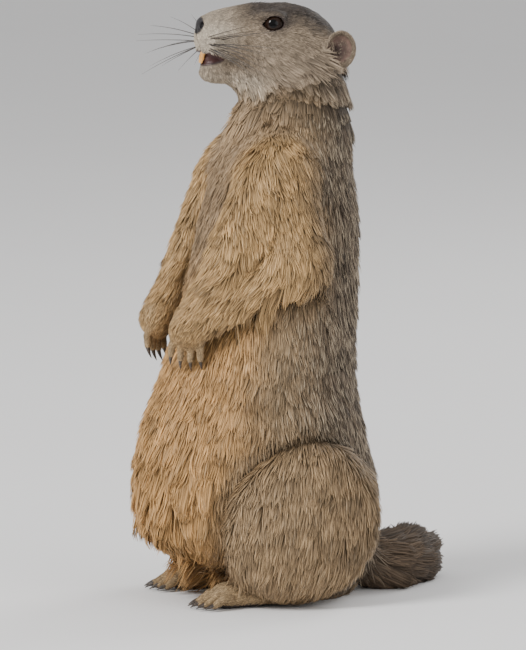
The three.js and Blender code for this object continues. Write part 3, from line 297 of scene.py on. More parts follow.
@dataclass(frozen=True)
class Skull:
    """The head's own forms, each with its share of the blend, without ears, lids or mouth."""

    blend: float = 9.0
    forms: tuple[tuple[Field, float], ...] = (
        (Lump((0, 16, 438), (32, 44, 29)), 1.0),  # cranium
        (Lump((0, -14, 444), (24, 34, 20)), 1.0),  # forehead
        (Lump((20, 15, 424), (21, 28, 26)), 1.0),  # cheek
        (Bar((0, -4, 446), (0, -34, 443.5), 19, 16), 1.0),  # bridge of the nose
        (Bar((0, -30, 415), (0, 12, 410), 10, 22), 1.0),  # lower jaw
        (Lump((8.5, -35, 437), (10.5, 14, 12.5)), 0.5),  # whisker pad
        (Lump((0, -36, 414), (11, 13, 9.5)), 0.5),  # chin
        (Lump((0, -44.5, 451.5), (8, 6, 6)), 0.33),  # nose
        (Lump((21, 2, 458.5), (8, 13, 5)), 0.5),  # brow
    )

    def __call__(self, p: Array) -> Array:
        """Distance to the head."""
        q = sided(p)
        d = self.forms[0][0](q)
        for shape, share in self.forms[1:]:
            d = soften(d, shape(q), self.blend * share)
        return d


@dataclass(frozen=True)
class EyeSeat:
    """Where an eye sits, and the almond between its lids."""

    centre: Triple = (21.3, 5.2, 451.2)
    radius: float = 9.0
    axis: Triple = (0.9, -0.36, 0.16)
    corner_line: Triple = (0.0, 1.0, -0.12)
    length: float = 16.4
    height: float = 11.4
    upper_share: float = 0.52
    lower_share: float = 0.46
    fullness: float = 1.15
    slant: float = 0.05
    lid: float = 1.5
    lid_blend: float = 1.5
    play: float = 0.2
    corners: tuple[tuple[Triple, Triple], ...] = (
        ((-7.6, 7.3, -0.6), (-10.6, 6.0, -2.0)),
        ((7.6, 7.3, 0.2), (9.4, 6.2, -0.2)),
    )
    corner_radii: Pair = (1.3, 0.5)

    def frame(self, side: float) -> tuple[Array, Array, Array, Array]:
        """The eye's centre, its own axis, and the directions along and up its lids."""
        out = unit(np.asarray(self.axis) * (side, 1, 1))
        along = np.array(self.corner_line)
        along = unit(along - (along @ out) * out)
        up = np.cross(out, along) * side
        return np.asarray(self.centre) * (side, 1, 1), out, along, up if up[2] > 0 else -up

    def opening(self, p: Array) -> Array:
        """How far points of the left side are outside the almond, seen along the eye's axis."""
        centre, out, along, up = self.frame(1.0)
        offset = p - centre
        a, u, ahead = offset @ along, offset @ up, offset @ out
        reach = np.sqrt(np.clip(1 - (2 * a / self.length) ** 2, 0, 1)) ** self.fullness
        upper = reach * self.height * self.upper_share + self.slant * a
        lower = -reach * self.height * self.lower_share + self.slant * a
        beside = np.maximum(np.maximum(u - upper, lower - u), np.abs(a) - self.length / 2)
        return np.maximum(beside, -ahead)

    def corner(self, p: Array) -> Array:
        """How far points of the left side are from the dark corners where the lids meet."""
        centre, out, along, up = self.frame(1.0)
        distances = []
        for ends in self.corners:
            start, end = (tuple(centre + a * along + b * out + c * up) for a, b, c in ends)
            distances.append(Bar(start, end, *self.corner_radii)(p))
        return np.minimum.reduce(distances)


@dataclass(frozen=True)
class Mouth:
    """The slightly open mouth with its lips, and the nose pad, nostrils and groove over it."""

    front: float = -62.0
    corner: float = -32.0
    upper: float = 430.5
    lower: float = 420.5
    drop: float = 0.6
    corner_level: float = 424.0
    lip: float = 1.6
    lip_end: float = 0.5
    lip_levels: Pair = (0.4, -1.0)
    lip_steps: int = 23
    lip_turn: float = 1.75
    lip_back: float = 2.0
    lip_sunk: float = 0.6
    lip_blend: float = 0.6
    lip_fillet: float = 1.6
    lip_low: Triple = (-26, -62, 410)
    lip_high: Triple = (26, -22, 440)
    tongue: Lump = Lump((0, -32.2, 423.3), (9.0, 13.8, 6.3))
    gum: Lump = Lump((0, -38.5, 428.5), (8.0, 5.6, 6.0))
    tongue_blend: float = 2.0
    pad: Lump = Lump((0, -50, 450.6), (7.6, 6.5, 6.2))
    nostril: Lump = Lump((5.4, -48.6, 451.2), (1.9, 3.2, 2.5))
    groove_depth: float = 1.3
    groove_width: float = 1.1
    groove_ahead: Fade = Fade(42, 48)
    groove_foot: Fade = Fade(428, 431)
    groove_head: Fade = Fade(447, 450)

    def edge(self, skull: Field, level: float) -> Array:
        """Points along a lip, from one corner of the mouth round the muzzle to the other."""
        share = np.linspace(-1, 1, self.lip_steps)
        turn = share * self.lip_turn
        start = np.zeros((len(share), 3))
        start[:, 1] = self.corner - self.lip_back
        start[:, 2] = lerp(level, self.corner_level, np.abs(share) ** 3)
        way = np.stack([np.sin(turn), -np.cos(turn), np.zeros_like(turn)], axis=1)
        return surface_points(skull, start, way) - way * self.lip * self.lip_sunk

    def lips(self, skull: Field) -> list[Form]:
        """The upper and the lower lip."""
        radii = [self.lip_end, self.lip, self.lip, self.lip, self.lip_end]
        forms = []
        for level, rise in zip((self.upper, self.lower), self.lip_levels):
            line = self.edge(skull, level + rise)
            lip = chain(line, radii, self.lip_blend)
            forms.append(Form(self.lip_low, self.lip_high, lip, self.lip_fillet))
        return forms

    def opening(self, p: Array) -> Array:
        """Distance to the wedge between the lips."""
        share = np.clip((self.corner - p[..., 1]) / (self.corner - self.front), 0, 1)
        wide = 1 - (1 - share) ** 3
        top = lerp(self.corner_level, self.upper, wide)
        bottom = lerp(self.corner_level, self.lower - self.drop, wide)
        return np.maximum(np.maximum(p[..., 2] - top, bottom - p[..., 2]), p[..., 1] - self.corner)

    def groove(self, p: Array) -> Array:
        """How deep the groove from the nose to the lip is at points."""
        ahead = self.groove_ahead(-p[..., 1])
        span = self.groove_foot(p[..., 2]) * (1 - self.groove_head(p[..., 2]))
        return self.groove_depth * np.exp(-((p[..., 0] / self.groove_width) ** 2)) * ahead * span


@dataclass(frozen=True)
class Ear:
    """A small rounded ear, a cup on a short root."""

    place: Triple = (35.5, 55.5, 431.5)
    facing: Triple = (0.8, -0.58, 0.14)
    width: float = 12.2
    height: float = 14.6
    thickness: float = 5.4
    hollow_place: Triple = (0.6, 1, 0.7)
    hollow_size: Triple = (0.8, 0.8, 1.15)
    fold: Bar = Bar((-3, -9, 0.2), (-5.5, 2, 0.6), 2.2, 1.1)
    fold_blend: float = 1.5
    root: Triple = (24, 40, 427)
    root_radii: Pair = (11.0, 8.0)
    root_end: float = 0.4
    root_blend: float = 3.0

    def axes(self) -> tuple[Array, Array, Array]:
        """The left ear's directions: across it, up it, and out of its cup."""
        facing = unit(np.asarray(self.facing))
        wide = unit(np.cross([0.0, 0.0, 1.0], facing))
        return wide, np.cross(facing, wide), facing

    def local(self, p: Array) -> Array:
        """Points of the left side in the ear's own directions."""
        return (p - np.asarray(self.place)) @ np.stack(self.axes(), axis=1)

    def __call__(self, p: Array) -> Array:
        """Distance to the ear."""
        q = self.local(sided(p))
        cup = Lump((0, 0, 0), (self.width, self.height, self.thickness))(q)
        across, up, out = self.hollow_place
        wide, tall, deep = self.hollow_size
        hollow_radii = (self.width * wide, self.height * tall, self.thickness * deep)
        hollow = Lump((across, up, self.thickness * out), hollow_radii)(q)
        shell = np.maximum(cup, -hollow)
        _, rise, facing = self.axes()
        end = np.asarray(self.place) - rise * self.height * self.root_end
        end = end - facing * self.thickness * self.root_end
        stalk = Bar(self.root, tuple(end), *self.root_radii)(sided(p))
        folded = soften(shell, self.fold(q), self.fold_blend)
        return soften(folded, np.maximum(stalk, -hollow), self.root_blend)


@dataclass(frozen=True)
class Limbs:
    """Arms, hands, thighs and feet, written for the left side."""

    shoulder: Triple = (40, 4, 338)
    elbow: Triple = (55, 12, 271)
    wrist: Triple = (36, -70, 217)
    drape: Triple = (45, -12, 322)
    shoulder_radius: float = 30.0
    elbow_radius: float = 24.0
    drape_radius: float = 26.0
    wrist_radius: float = 11.5
    arm_blend: float = 14.0
    arm_coat: float = 2.4
    wrist_coat: float = 0.6
    thigh_centre: Triple = (54, 9, 72)
    thigh_radii: Triple = (45, 66, 70)
    thigh_fullness: float = 2.6
    thigh_coat: float = 1.6
    paw_coat: float = 0.2
    hand_down: Triple = (-0.04, -0.12, -0.99)
    hand_across: Triple = (0.62, 0.78, 0.0)
    palm: float = 12.5
    palm_radius: float = 12.4
    palm_ends: Pair = (0.92, 0.86)
    palm_flatness: float = 0.66
    palm_top: float = 8.0
    fingers: int = 4
    finger_sunk: float = 7.0
    finger_pitch: float = 7.0
    finger_spread: float = 0.07
    finger_length: float = 17.5
    finger_curve: float = 0.05
    finger_bow: tuple[Pair, ...] = ((0.5, 1.6), (0.8, 0.6))
    finger_radius: float = 2.75
    finger_taper: tuple[float, ...] = (1.0, 1.1, 0.95, 0.88)
    finger_blend: float = 0.8
    heel: Triple = (47, 4, 12)
    heel_radius: float = 12.6
    heel_flatness: float = 0.8
    instep: float = 0.55
    instep_level: float = 10.5
    instep_radius: float = 14.0
    ball: Triple = (51, -44, 9.5)
    ball_radius: float = 13.6
    ball_flatness: float = 0.76
    foot_blend: float = 3.0
    toes: int = 5
    toe_ahead: float = 3.0
    toe_pitch: float = 6.6
    toe_spread: float = 0.06
    toe_length: float = 20.0
    toe_curve: float = 0.07
    toe_bow: tuple[Pair, ...] = ((0.0, 9.4), (0.4, 9.8), (0.76, 6.4), (1.0, 4.4))
    toe_radius: float = 3.15
    toe_taper: tuple[float, ...] = (1.0, 1.1, 0.95, 0.9)
    toe_blend: float = 0.8
    toe_fillet: float = 1.2

    def arm(self, p: Array) -> Array:
        """Distance to the arms."""
        q = sided(p)
        upper = Bar(self.shoulder, self.elbow, self.shoulder_radius, self.elbow_radius)(q)
        lower = Bar(self.elbow, self.wrist, self.elbow_radius, self.wrist_radius)(q)
        front = Bar(self.drape, self.wrist, self.drape_radius, self.wrist_radius)(q)
        d = soften(soften(upper, lower, self.arm_blend), front, self.arm_blend)
        return d + self.arm_coat * smooth(q[..., 2], self.wrist[2], self.elbow[2]) + self.wrist_coat

    def thigh(self, p: Array) -> Array:
        """Distance to the thighs, which are fuller toward their rims than an egg."""
        offset = np.abs(sided(p) - np.asarray(self.thigh_centre)) / np.asarray(self.thigh_radii)
        rim = np.hypot(offset[..., 1], offset[..., 2])
        near = (offset[..., 0] ** self.thigh_fullness + rim**self.thigh_fullness) ** (1 / self.thigh_fullness)
        return (near - 1) * min(self.thigh_radii) + self.thigh_coat

    def hand_frame(self) -> tuple[Array, Array, Array, Array]:
        """The left wrist, and the directions down the hand, across its fingers and into its palm."""
        down = unit(np.asarray(self.hand_down))
        across = np.asarray(self.hand_across)
        across = unit(across - (across @ down) * down)
        inward = np.array([0.0, 1.0, 0.0]) - across[1] * across
        inward = unit(inward - (inward @ down) * down)
        return np.asarray(self.wrist), down, across, inward

    def finger_joints(self) -> list[Array]:
        """Root, knuckle, middle joint and end of each left finger."""
        wrist, down, across, inward = self.hand_frame()
        (first, lift), (second, dip) = self.finger_bow
        joints = []
        for n in range(self.fingers):
            offset = n - (self.fingers - 1) / 2
            length = self.finger_length * (1 - self.finger_curve * offset * offset)
            way = unit(down + across * offset * self.finger_spread)
            root = wrist + down * (self.palm - self.finger_sunk) + across * offset * self.finger_pitch
            knuckle = root + way * length * first - inward * lift
            middle = root + way * length * second - inward * dip
            joints.append(np.stack([root, knuckle, middle, root + way * length]))
        return joints

    def hand(self, p: Array) -> Array:
        """Distance to the hands."""
        q = sided(p)
        wrist, down, across, _ = self.hand_frame()
        thin = tuple(np.cross(down, across))
        top, end = (tuple(wrist + down * reach) for reach in (-self.palm_top, self.palm - self.palm_top))
        wide, narrow = (self.palm_radius * share for share in self.palm_ends)
        d = Bar(top, end, wide, narrow, thin, self.palm_flatness)(q)
        radii = [self.finger_radius * share for share in self.finger_taper]
        for joints in self.finger_joints():
            d = soften(d, chain(joints, radii, self.finger_blend)(q), self.finger_blend)
        return d + self.paw_coat

    def foot_frame(self) -> tuple[Array, Array, Array]:
        """The ball of the left foot, and the directions forward and across it."""
        forward = unit((np.asarray(self.ball) - np.asarray(self.heel)) * (1, 1, 0))
        return np.asarray(self.ball), forward, np.array([forward[1], -forward[0], 0.0])

    def toe_joints(self) -> list[Array]:
        """Root, knuckle, middle joint and end of each left toe."""
        ball, forward, across = self.foot_frame()
        joints = []
        for n in range(self.toes):
            offset = n - (self.toes - 1) / 2
            length = self.toe_length * (1 - self.toe_curve * offset * offset)
            way = unit(forward + across * offset * self.toe_spread)
            root = ball + across * offset * self.toe_pitch + forward * self.toe_ahead
            row = [(root + way * length * share) * (1, 1, 0) + (0, 0, z) for share, z in self.toe_bow]
            joints.append(np.stack(row))
        return joints

    def foot(self, p: Array) -> Array:
        """Distance to the feet."""
        q, up = sided(p), (0.0, 0.0, 1.0)
        flat = lerp(self.heel, self.ball, self.instep) * (1, 1, 0)
        middle = tuple(flat + (0, 0, self.instep_level))
        rear = Bar(self.heel, middle, self.heel_radius, self.instep_radius, up, self.heel_flatness)(q)
        front = Bar(middle, self.ball, self.instep_radius, self.ball_radius, up, self.ball_flatness)(q)
        d = soften(rear, front, self.foot_blend)
        radii = [self.toe_radius * share for share in self.toe_taper]
        for joints in self.toe_joints():
            d = soften(d, chain(joints, radii, self.toe_blend)(q), self.toe_fillet)
        return d + self.paw_coat


@dataclass(frozen=True)
class Tail:
    """The tail, laid on the floor behind and round to the right."""

    path: tuple[Triple, ...] = ((0, 84, 26), (-16, 118, 17), (-46, 143, 16), (-84, 150, 14))
    radii: tuple[float, ...] = (16.5, 20, 20, 6.5)
    joints: int = 8
    blend: float = 4.0
    coat: float = 0.8

    def line(self, count: int) -> Array:
        """Points along the tail's middle."""
        return curve_through(self.path, count)

    def __call__(self, p: Array) -> Array:
        """Distance to the tail."""
        return chain(self.line(self.joints), self.radii, self.blend)(p) + self.coat


@dataclass(frozen=True)
class Anatomy:
    """The whole animal's skin as one field, with its mouth, lids and nostrils."""

    trunk: Trunk = Trunk()
    skull: Skull = Skull()
    eye: EyeSeat = EyeSeat()
    mouth: Mouth = Mouth()
    ear: Ear = Ear()
    limbs: Limbs = Limbs()
    tail: Tail = Tail()
    nose: Triple = (0, -48, 449)
    nose_coat: float = 0.1
    face_coat: float = 1.1
    face_coat_grows: Fade = Fade(9, 34)
    body_coat: float = 4.6
    collar: float = 420.0
    collar_middle: float = 27.0
    collar_tilt: float = 0.17
    collar_fade: Fade = Fade(0, 26)
    face_low: Triple = (-62, -66, 404)
    face_high: Triple = (62, 30, 470)
    side: float = 110.0
    floor: float = 0.3
    forms: list[Form] = field(default_factory=list)
    head_form: list[Form] = field(default_factory=list)
    lips: list[Form] = field(default_factory=list)

    def __post_init__(self) -> None:
        """Lists the forms with the zones in which each counts."""
        side, limbs = self.side, self.limbs
        self.head_form.append(Form((-90, -80, 366), (90, 110, 500), self.skull, fillet=18))
        self.forms.extend([
            Form((-side, -100, 190), (side, 70, 400), limbs.arm, fillet=16, tight=3.0, tight_under=300,
                 crease=3.0),
            Form((-side, -110, -20), (side, 110, 170), limbs.thigh, fillet=20, tight=3.0, tight_under=118,
                 tight_span=32, crease=4.5),
            Form((-62, -98, 168), (62, -44, 236), limbs.hand, fillet=4),
            Form((-82, -84, -14), (82, 26, 34), limbs.foot, fillet=5),
            Form((-112, 56, -20), (40, 182, 62), self.tail, fillet=10),
            Form((-66, 22, 406), (66, 78, 462), self.ear, fillet=4),
        ])
        self.lips.extend(self.mouth.lips(self.skull))

    def below_collar(self, p: Array) -> Array:
        """0 on the head and 1 from the neck down."""
        tilt = (p[..., 1] - self.collar_middle) * self.collar_tilt
        return self.collar_fade((self.collar - p[..., 2]) + tilt)

    def coat_depth(self, p: Array) -> Array:
        """How deep the skin of trunk and head lies in the coat."""
        from_nose = np.linalg.norm(p - np.asarray(self.nose), axis=-1)
        face = self.nose_coat + (self.face_coat - self.nose_coat) * self.face_coat_grows(from_nose)
        return lerp(face, self.body_coat, self.below_collar(p))

    def core(self, p: Array) -> Array:
        """Distance to trunk and head without their coat."""
        d = self.trunk(p)
        for form in self.head_form:
            form.join(p, d)
        return d + self.coat_depth(p)

    def __call__(self, p: Array) -> Array:
        """Distance to the skin."""
        d = self.core(p)
        for form in self.forms:
            form.join(p, d)
        near = np.all((p >= self.face_low) & (p <= self.face_high), axis=-1)
        if near.any():
            d[near] = self.face(p[near], d[near])
        return np.maximum(d, self.floor - p[..., 2])

    def face(self, p: Array, d: Array) -> Array:
        """Mouth, lips, lids and nostrils worked into the head's distances."""
        q, mouth, eye = sided(p), self.mouth, self.eye
        d = np.maximum(d, -mouth.opening(q))
        d = np.minimum(d, soften(mouth.tongue(q), mouth.gum(q), mouth.tongue_blend))
        for form in self.lips:
            form.join(p, d)
        centre, _, _, _ = eye.frame(1.0)
        from_eye = np.linalg.norm(q - centre, axis=-1)
        lids = from_eye - eye.radius - eye.lid
        d = soften(d, lids, eye.lid_blend)
        d = np.maximum(d, -np.maximum(eye.opening(q), from_eye - 2 * eye.radius))
        d = np.maximum(d, eye.radius + eye.play - from_eye)
        return np.maximum(d, -mouth.nostril(q)) + mouth.groove(q)


# Meshes


class Place:
    """The move from the animal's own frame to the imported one."""

    def __init__(self, eye: EyeSeat) -> None:
        """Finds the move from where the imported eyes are."""
        middles = [(low + high) / 2 for low, high in (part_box("eye_left"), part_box("eye_right"))]
        middle = (middles[0] + middles[1]) / 2
        self.shift = np.array([middle.x, middle.y - eye.centre[1] * MM, 0.0])

    def __call__(self, p: Array) -> Array:
        """Points in metres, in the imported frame."""
        return np.asarray(p, float) * MM + self.shift


class Piece:
    """A mesh piece of the marmot, made from arrays."""

    def __init__(self, name: str, place: Place, points: Array, faces: Array) -> None:
        """Makes the mesh and hangs it on the body.

        Args:
            name: the piece's name.
            place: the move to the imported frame.
            points: its corners, in millimetres.
            faces: rows of three or four corner numbers.
        """
        self.mesh = bpy.data.meshes.new(name)
        corners = faces.shape[1]
        self.mesh.vertices.add(len(points))
        self.mesh.vertices.foreach_set("co", place(points).astype(np.float32).ravel())
        self.mesh.loops.add(faces.size)
        self.mesh.polygons.add(len(faces))
        self.mesh.polygons.foreach_set("loop_start", np.arange(0, faces.size, corners, dtype=np.int32))
        self.mesh.loops.foreach_set("vertex_index", faces.astype(np.int32).ravel())
        self.mesh.update(calc_edges=True)
        self.mesh.shade_smooth()
        self.faces = faces
        self.object = bpy.data.objects.new(name, self.mesh)
        bpy.context.scene.collection.objects.link(self.object)
        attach(self.object, BODY)
        LOG.info("%s: %d points, %d faces", name, len(points), len(faces))

    def numbers(self, name: str, values: Array) -> None:
        """Keeps one number for each point."""
        layer = self.mesh.attributes.new(name, "FLOAT", "POINT")
        layer.data.foreach_set("value", np.asarray(values, np.float32).ravel())

    def colours(self, name: str, values: Array) -> None:
        """Keeps one colour for each point."""
        layer = self.mesh.attributes.new(name, "FLOAT_COLOR", "POINT")
        full = np.ones((len(values), 4), np.float32)
        full[:, :3] = values
        layer.data.foreach_set("color", full.ravel())

    def bake_map(self, uv: Array) -> None:
        """Keeps a map of one place for each point, named OFBake."""
        layer = self.mesh.uv_layers.new(name="OFBake")
        layer.data.foreach_set("uv", uv[self.faces.ravel()].astype(np.float32).ravel())

    def dress(self, material: bpy.types.Material, slot: str) -> None:
        """Gives the piece its material."""
        self.mesh.materials.append(material)


@dataclass(frozen=True)
class Span:
    """A stretch of grid lines at one step, which may be widened."""

    low: float
    high: float
    step: float
    widens: bool = False

    def lines(self, widening: float) -> Array:
        """The stretch's lines, without its last."""
        step = self.step * widening if self.widens else self.step
        count = max(int(round((self.high - self.low) / step)), 1)
        return np.linspace(self.low, self.high, count, endpoint=False)


def grid_lines(spans: Sequence[Span], widening: float) -> Array:
    """Grid lines over spans that follow one another."""
    return np.concatenate([*(span.lines(widening) for span in spans), [spans[-1].high]])


class SurfaceNet:
    """The closed surface where a field is zero, one point to each grid cell that it passes through."""

    layers: int = 8
    slack: float = 0.3
    passes: int = 3
    pull: float = 0.9

    def __init__(self, shape: Field, xs: Array, ys: Array, zs: Array) -> None:
        """Samples the field and finds the surface.

        Args:
            shape: the field.
            xs: grid lines across.
            ys: grid lines from front to back.
            zs: grid lines from the floor up.
        """
        self.lines = (xs, ys, zs)
        self.values = np.empty((len(xs), len(ys), len(zs)))
        for low in range(0, len(zs), self.layers):
            high = low + self.layers
            part = np.stack(np.meshgrid(xs, ys, zs[low:high], indexing="ij"), axis=-1)
            self.values[:, :, low:high] = shape(part.reshape(-1, 3)).reshape(part.shape[:3])
        self.within = self.values < 0
        self.points = self._points(shape)
        self.faces = self._faces()

    def _corner(self, grid: Array, corner: tuple[int, int, int]) -> Array:
        """The grid's values at one corner of each cell."""
        nx, ny, nz = (len(line) - 1 for line in self.lines)
        i, j, k = corner
        return grid[i:nx + i, j:ny + j, k:nz + k]

    def _points(self, shape: Field) -> Array:
        """One point in each cell that the surface crosses, drawn on to the surface."""
        corners = [(n & 1, (n >> 1) & 1, n >> 2) for n in range(8)]
        count = sum(self._corner(self.within, corner).astype(np.int8) for corner in corners)
        active = (count > 0) & (count < 8)
        self.number = np.full(active.shape, -1, np.int64)
        cells = np.argwhere(active)
        self.number[active] = np.arange(len(cells))
        total, crossings = np.zeros((len(cells), 3)), np.zeros(len(cells))
        for a in corners:
            for axis in range(3):
                if a[axis]:
                    continue
                b = tuple(a[n] + (n == axis) for n in range(3))
                low, high = (self.values[tuple((cells + c).T)] for c in (a, b))
                crosses = (low < 0) != (high < 0)
                t = np.where(crosses, low / np.where(crosses, low - high, 1), 0)
                start = np.stack([self.lines[n][cells[:, n] + a[n]] for n in range(3)], axis=1)
                end = np.stack([self.lines[n][cells[:, n] + b[n]] for n in range(3)], axis=1)
                total += np.where(crosses[:, None], lerp(start, end, t[:, None]), 0)
                crossings += crosses
        points = total / crossings[:, None]
        low = np.stack([self.lines[n][cells[:, n]] for n in range(3)], axis=1)
        high = np.stack([self.lines[n][cells[:, n] + 1] for n in range(3)], axis=1)
        spare = (high - low) * self.slack
        for _ in range(self.passes):
            slope, away = slope_of(shape, points)
            points = np.clip(points - slope * away[:, None] * self.pull, low - spare, high + spare)
        return points

    def _faces(self) -> Array:
        """A four-sided face across each grid edge that the surface crosses."""
        faces = []
        for axis in range(3):
            first, second = (axis + 1) % 3, (axis + 2) % 3
            low = np.take(self.within, range(self.within.shape[axis] - 1), axis)
            high = np.take(self.within, range(1, self.within.shape[axis]), axis)
            edges = np.argwhere(low != high)
            for across in (first, second):
                edges = edges[(edges[:, across] > 0) & (edges[:, across] < len(self.lines[across]) - 1)]
            starts_inside = low[tuple(edges.T)]
            quads = []
            for da, db in ((-1, -1), (0, -1), (0, 0), (-1, 0)):
                cell = edges.copy()
                cell[:, first] += da
                cell[:, second] += db
                quads.append(self.number[tuple(cell.T)])
            quad = np.stack(quads, axis=1)
            quad[~starts_inside] = quad[~starts_inside][:, ::-1]
            faces.append(quad)
        return np.concatenate(faces)


# Coat


@dataclass(frozen=True)
class Regions:
    """Which part of the body each point of the skin belongs to."""

    body: Anatomy
    names: tuple[str, ...] = ("core", "arm", "thigh", "hand", "foot", "tail", "ear")
    spread: float = 2.5
    far: float = 60.0
    lid_edge: Pair = (0.9, 2.1)
    lip_edge: Fade = Fade(0.9, 2.2)
    wet_edge: Fade = Fade(0.2, 1.6)
    mouth_ahead: Fade = Fade(28, 33)
    mouth_middle: float = 426.0
    mouth_half: float = 12.0
    pad_edge: Fade = Fade(0, 1.5)
    sole_edge: Fade = Fade(2.5, 4.5)
    sole_back: float = 30.0
    corner_edge: Fade = Fade(-0.1, 0.8)
    split_ahead: Fade = Fade(42, 46)
    split_foot: Fade = Fade(428, 431)
    split_head: Fade = Fade(445, 447)
    split_side: Fade = Fade(0.7, 1.3)
    split_bare: float = 0.8
    ear_bottom: Pair = (2.5, 1.0)
    ear_rim_edge: Fade = Fade(0.15, 0.8)
    ear_depth: Fade = Fade(-2.6, -1.6)
    ear_side: Fade = Fade(0.68, 0.84)
    ear_reach: float = 8.0
    ear_bare: float = 0.8

    def shares(self, p: Array) -> Shares:
        """Shares of the parts at points; they add up to 1.

        Args:
            p: points near the skin.

        Returns:
            One row of shares for each part's name.
        """
        distances = np.full((len(self.names), len(p)), self.far)
        distances[0] = self.body.core(p)
        for row, form in zip(distances[1:], self.body.forms):
            near = form.inside(p)
            if near.any():
                row[near] = form.shape(p[near])
        nearest = np.exp(-(distances - distances.min(axis=0)) / self.spread)
        return dict(zip(self.names, nearest / nearest.sum(axis=0)))

    def neck(self, p: Array) -> Array:
        """0 on the head and 1 from the neck down."""
        return self.body.below_collar(p)

    def from_nose(self, p: Array) -> Array:
        """Distance from the tip of the nose."""
        return np.linalg.norm(p - np.asarray(self.body.nose), axis=-1)

    def from_eye(self, p: Array) -> Array:
        """Distance from the nearer eye's middle."""
        return np.linalg.norm(sided(p) - np.asarray(self.body.eye.centre), axis=-1)

    def round_mouth(self, q: Array, edge: Fade) -> Array:
        """1 in and just round the mouth, at points of the left side."""
        near = (1 - edge(self.body.mouth.opening(q))) * self.mouth_ahead(-q[:, 1])
        return near * (np.abs(q[:, 2] - self.mouth_middle) < self.mouth_half)

    def nose_pad(self, q: Array) -> Array:
        """1 on the nose pad, at points of the left side."""
        return 1 - self.pad_edge(self.body.mouth.pad(q))

    def soles(self, q: Array) -> Array:
        """1 on the soles, at points of the left side."""
        return (1 - self.sole_edge(q[:, 2])) * (q[:, 1] < self.sole_back)

    def bare(self, p: Array) -> Array:
        """1 where no hair grows, and less than 1 where it is thin."""
        q, radius = sided(p), self.body.eye.radius
        lids = 1 - smooth(self.from_eye(p), *(radius + edge for edge in self.lid_edge))
        face = [lids, self.round_mouth(q, self.lip_edge), self.nose_pad(q), self.eye_corners(p)]
        thin = [self.split_bare * self.split(p), self.ear_bare * self.ear_inside(p)]
        return np.maximum.reduce([*face, *thin, self.soles(q)])

    def eye_corners(self, p: Array) -> Array:
        """1 in the dark corners where the lids meet, longest toward the nose."""
        return 1 - self.corner_edge(self.body.eye.corner(sided(p)))

    def wet(self, p: Array) -> Array:
        """1 on the nose pad and in the mouth."""
        q = sided(p)
        return np.maximum(self.round_mouth(q, self.wet_edge), self.nose_pad(q))

    def ear_rim(self, p: Array) -> Array:
        """0 deep in the cup of an ear and 1 at its rim."""
        local, ear = self.body.ear.local(sided(p)), self.body.ear
        across, up = self.ear_bottom
        out = np.hypot((local[:, 0] + across) / ear.width, (local[:, 1] + up) / ear.height)
        return self.ear_rim_edge(out)

    def split(self, p: Array) -> Array:
        """1 in the groove from the nose to the lip."""
        ahead = self.split_ahead(-p[:, 1]) * self.split_foot(p[:, 2]) * (1 - self.split_head(p[:, 2]))
        return (1 - self.split_side(np.abs(p[:, 0]))) * ahead

    def ear_inside(self, p: Array) -> Array:
        """1 in the cup of an ear."""
        local, ear = self.body.ear.local(sided(p)), self.body.ear
        out = np.hypot(local[:, 0] / ear.width, local[:, 1] / ear.height)
        within = np.abs(local[:, 2]) < self.ear_reach
        return self.ear_depth(local[:, 2]) * (1 - self.ear_side(out)) * within


@dataclass(frozen=True)
class Crown:
    """The dark crown: its waved edge, and how it runs down the nape and fades at temple and neck."""

    waves: tuple[Triple, ...] = ((2.5, 0.0, 0.21), (1.5, 0.5, 0.0), (1.0, 1.3, 1.0))
    edge: Fade = Fade(443, 459)
    slope: float = 0.28
    nose_fade: Fade = Fade(20, 48)
    nape: float = 26.0
    nape_back: Fade = Fade(22, 52)
    nape_side: Fade = Fade(6, 28)
    temple: float = 22.0
    temple_slope: float = 0.2
    temple_fade: Fade = Fade(0, 10)
    temple_share: float = 0.8
    foot: float = 438.0
    foot_fade: Fade = Fade(0, 18)
    foot_share: float = 0.9

    def __call__(self, p: Array, from_nose: Array) -> Array:
        """How strong the crown is at points."""
        q = sided(p)
        wave = sum(size * np.sin(p[:, 0] * across + p[:, 1] * back) for size, across, back in self.waves)
        nape = self.nape * self.nape_back(q[:, 1]) * (1 - self.nape_side(q[:, 0]))
        level = q[:, 2] + wave + nape - self.slope * np.maximum(-q[:, 1], 0)
        temple = self.temple_fade(q[:, 0] - self.temple - self.temple_slope * q[:, 1])
        top = self.edge(level) * self.nose_fade(from_nose) * (1 - temple * self.temple_share)
        top = top * (1 - self.foot_share * self.foot_fade(self.foot - p[:, 2]))
        return np.clip(top, 0, 1)


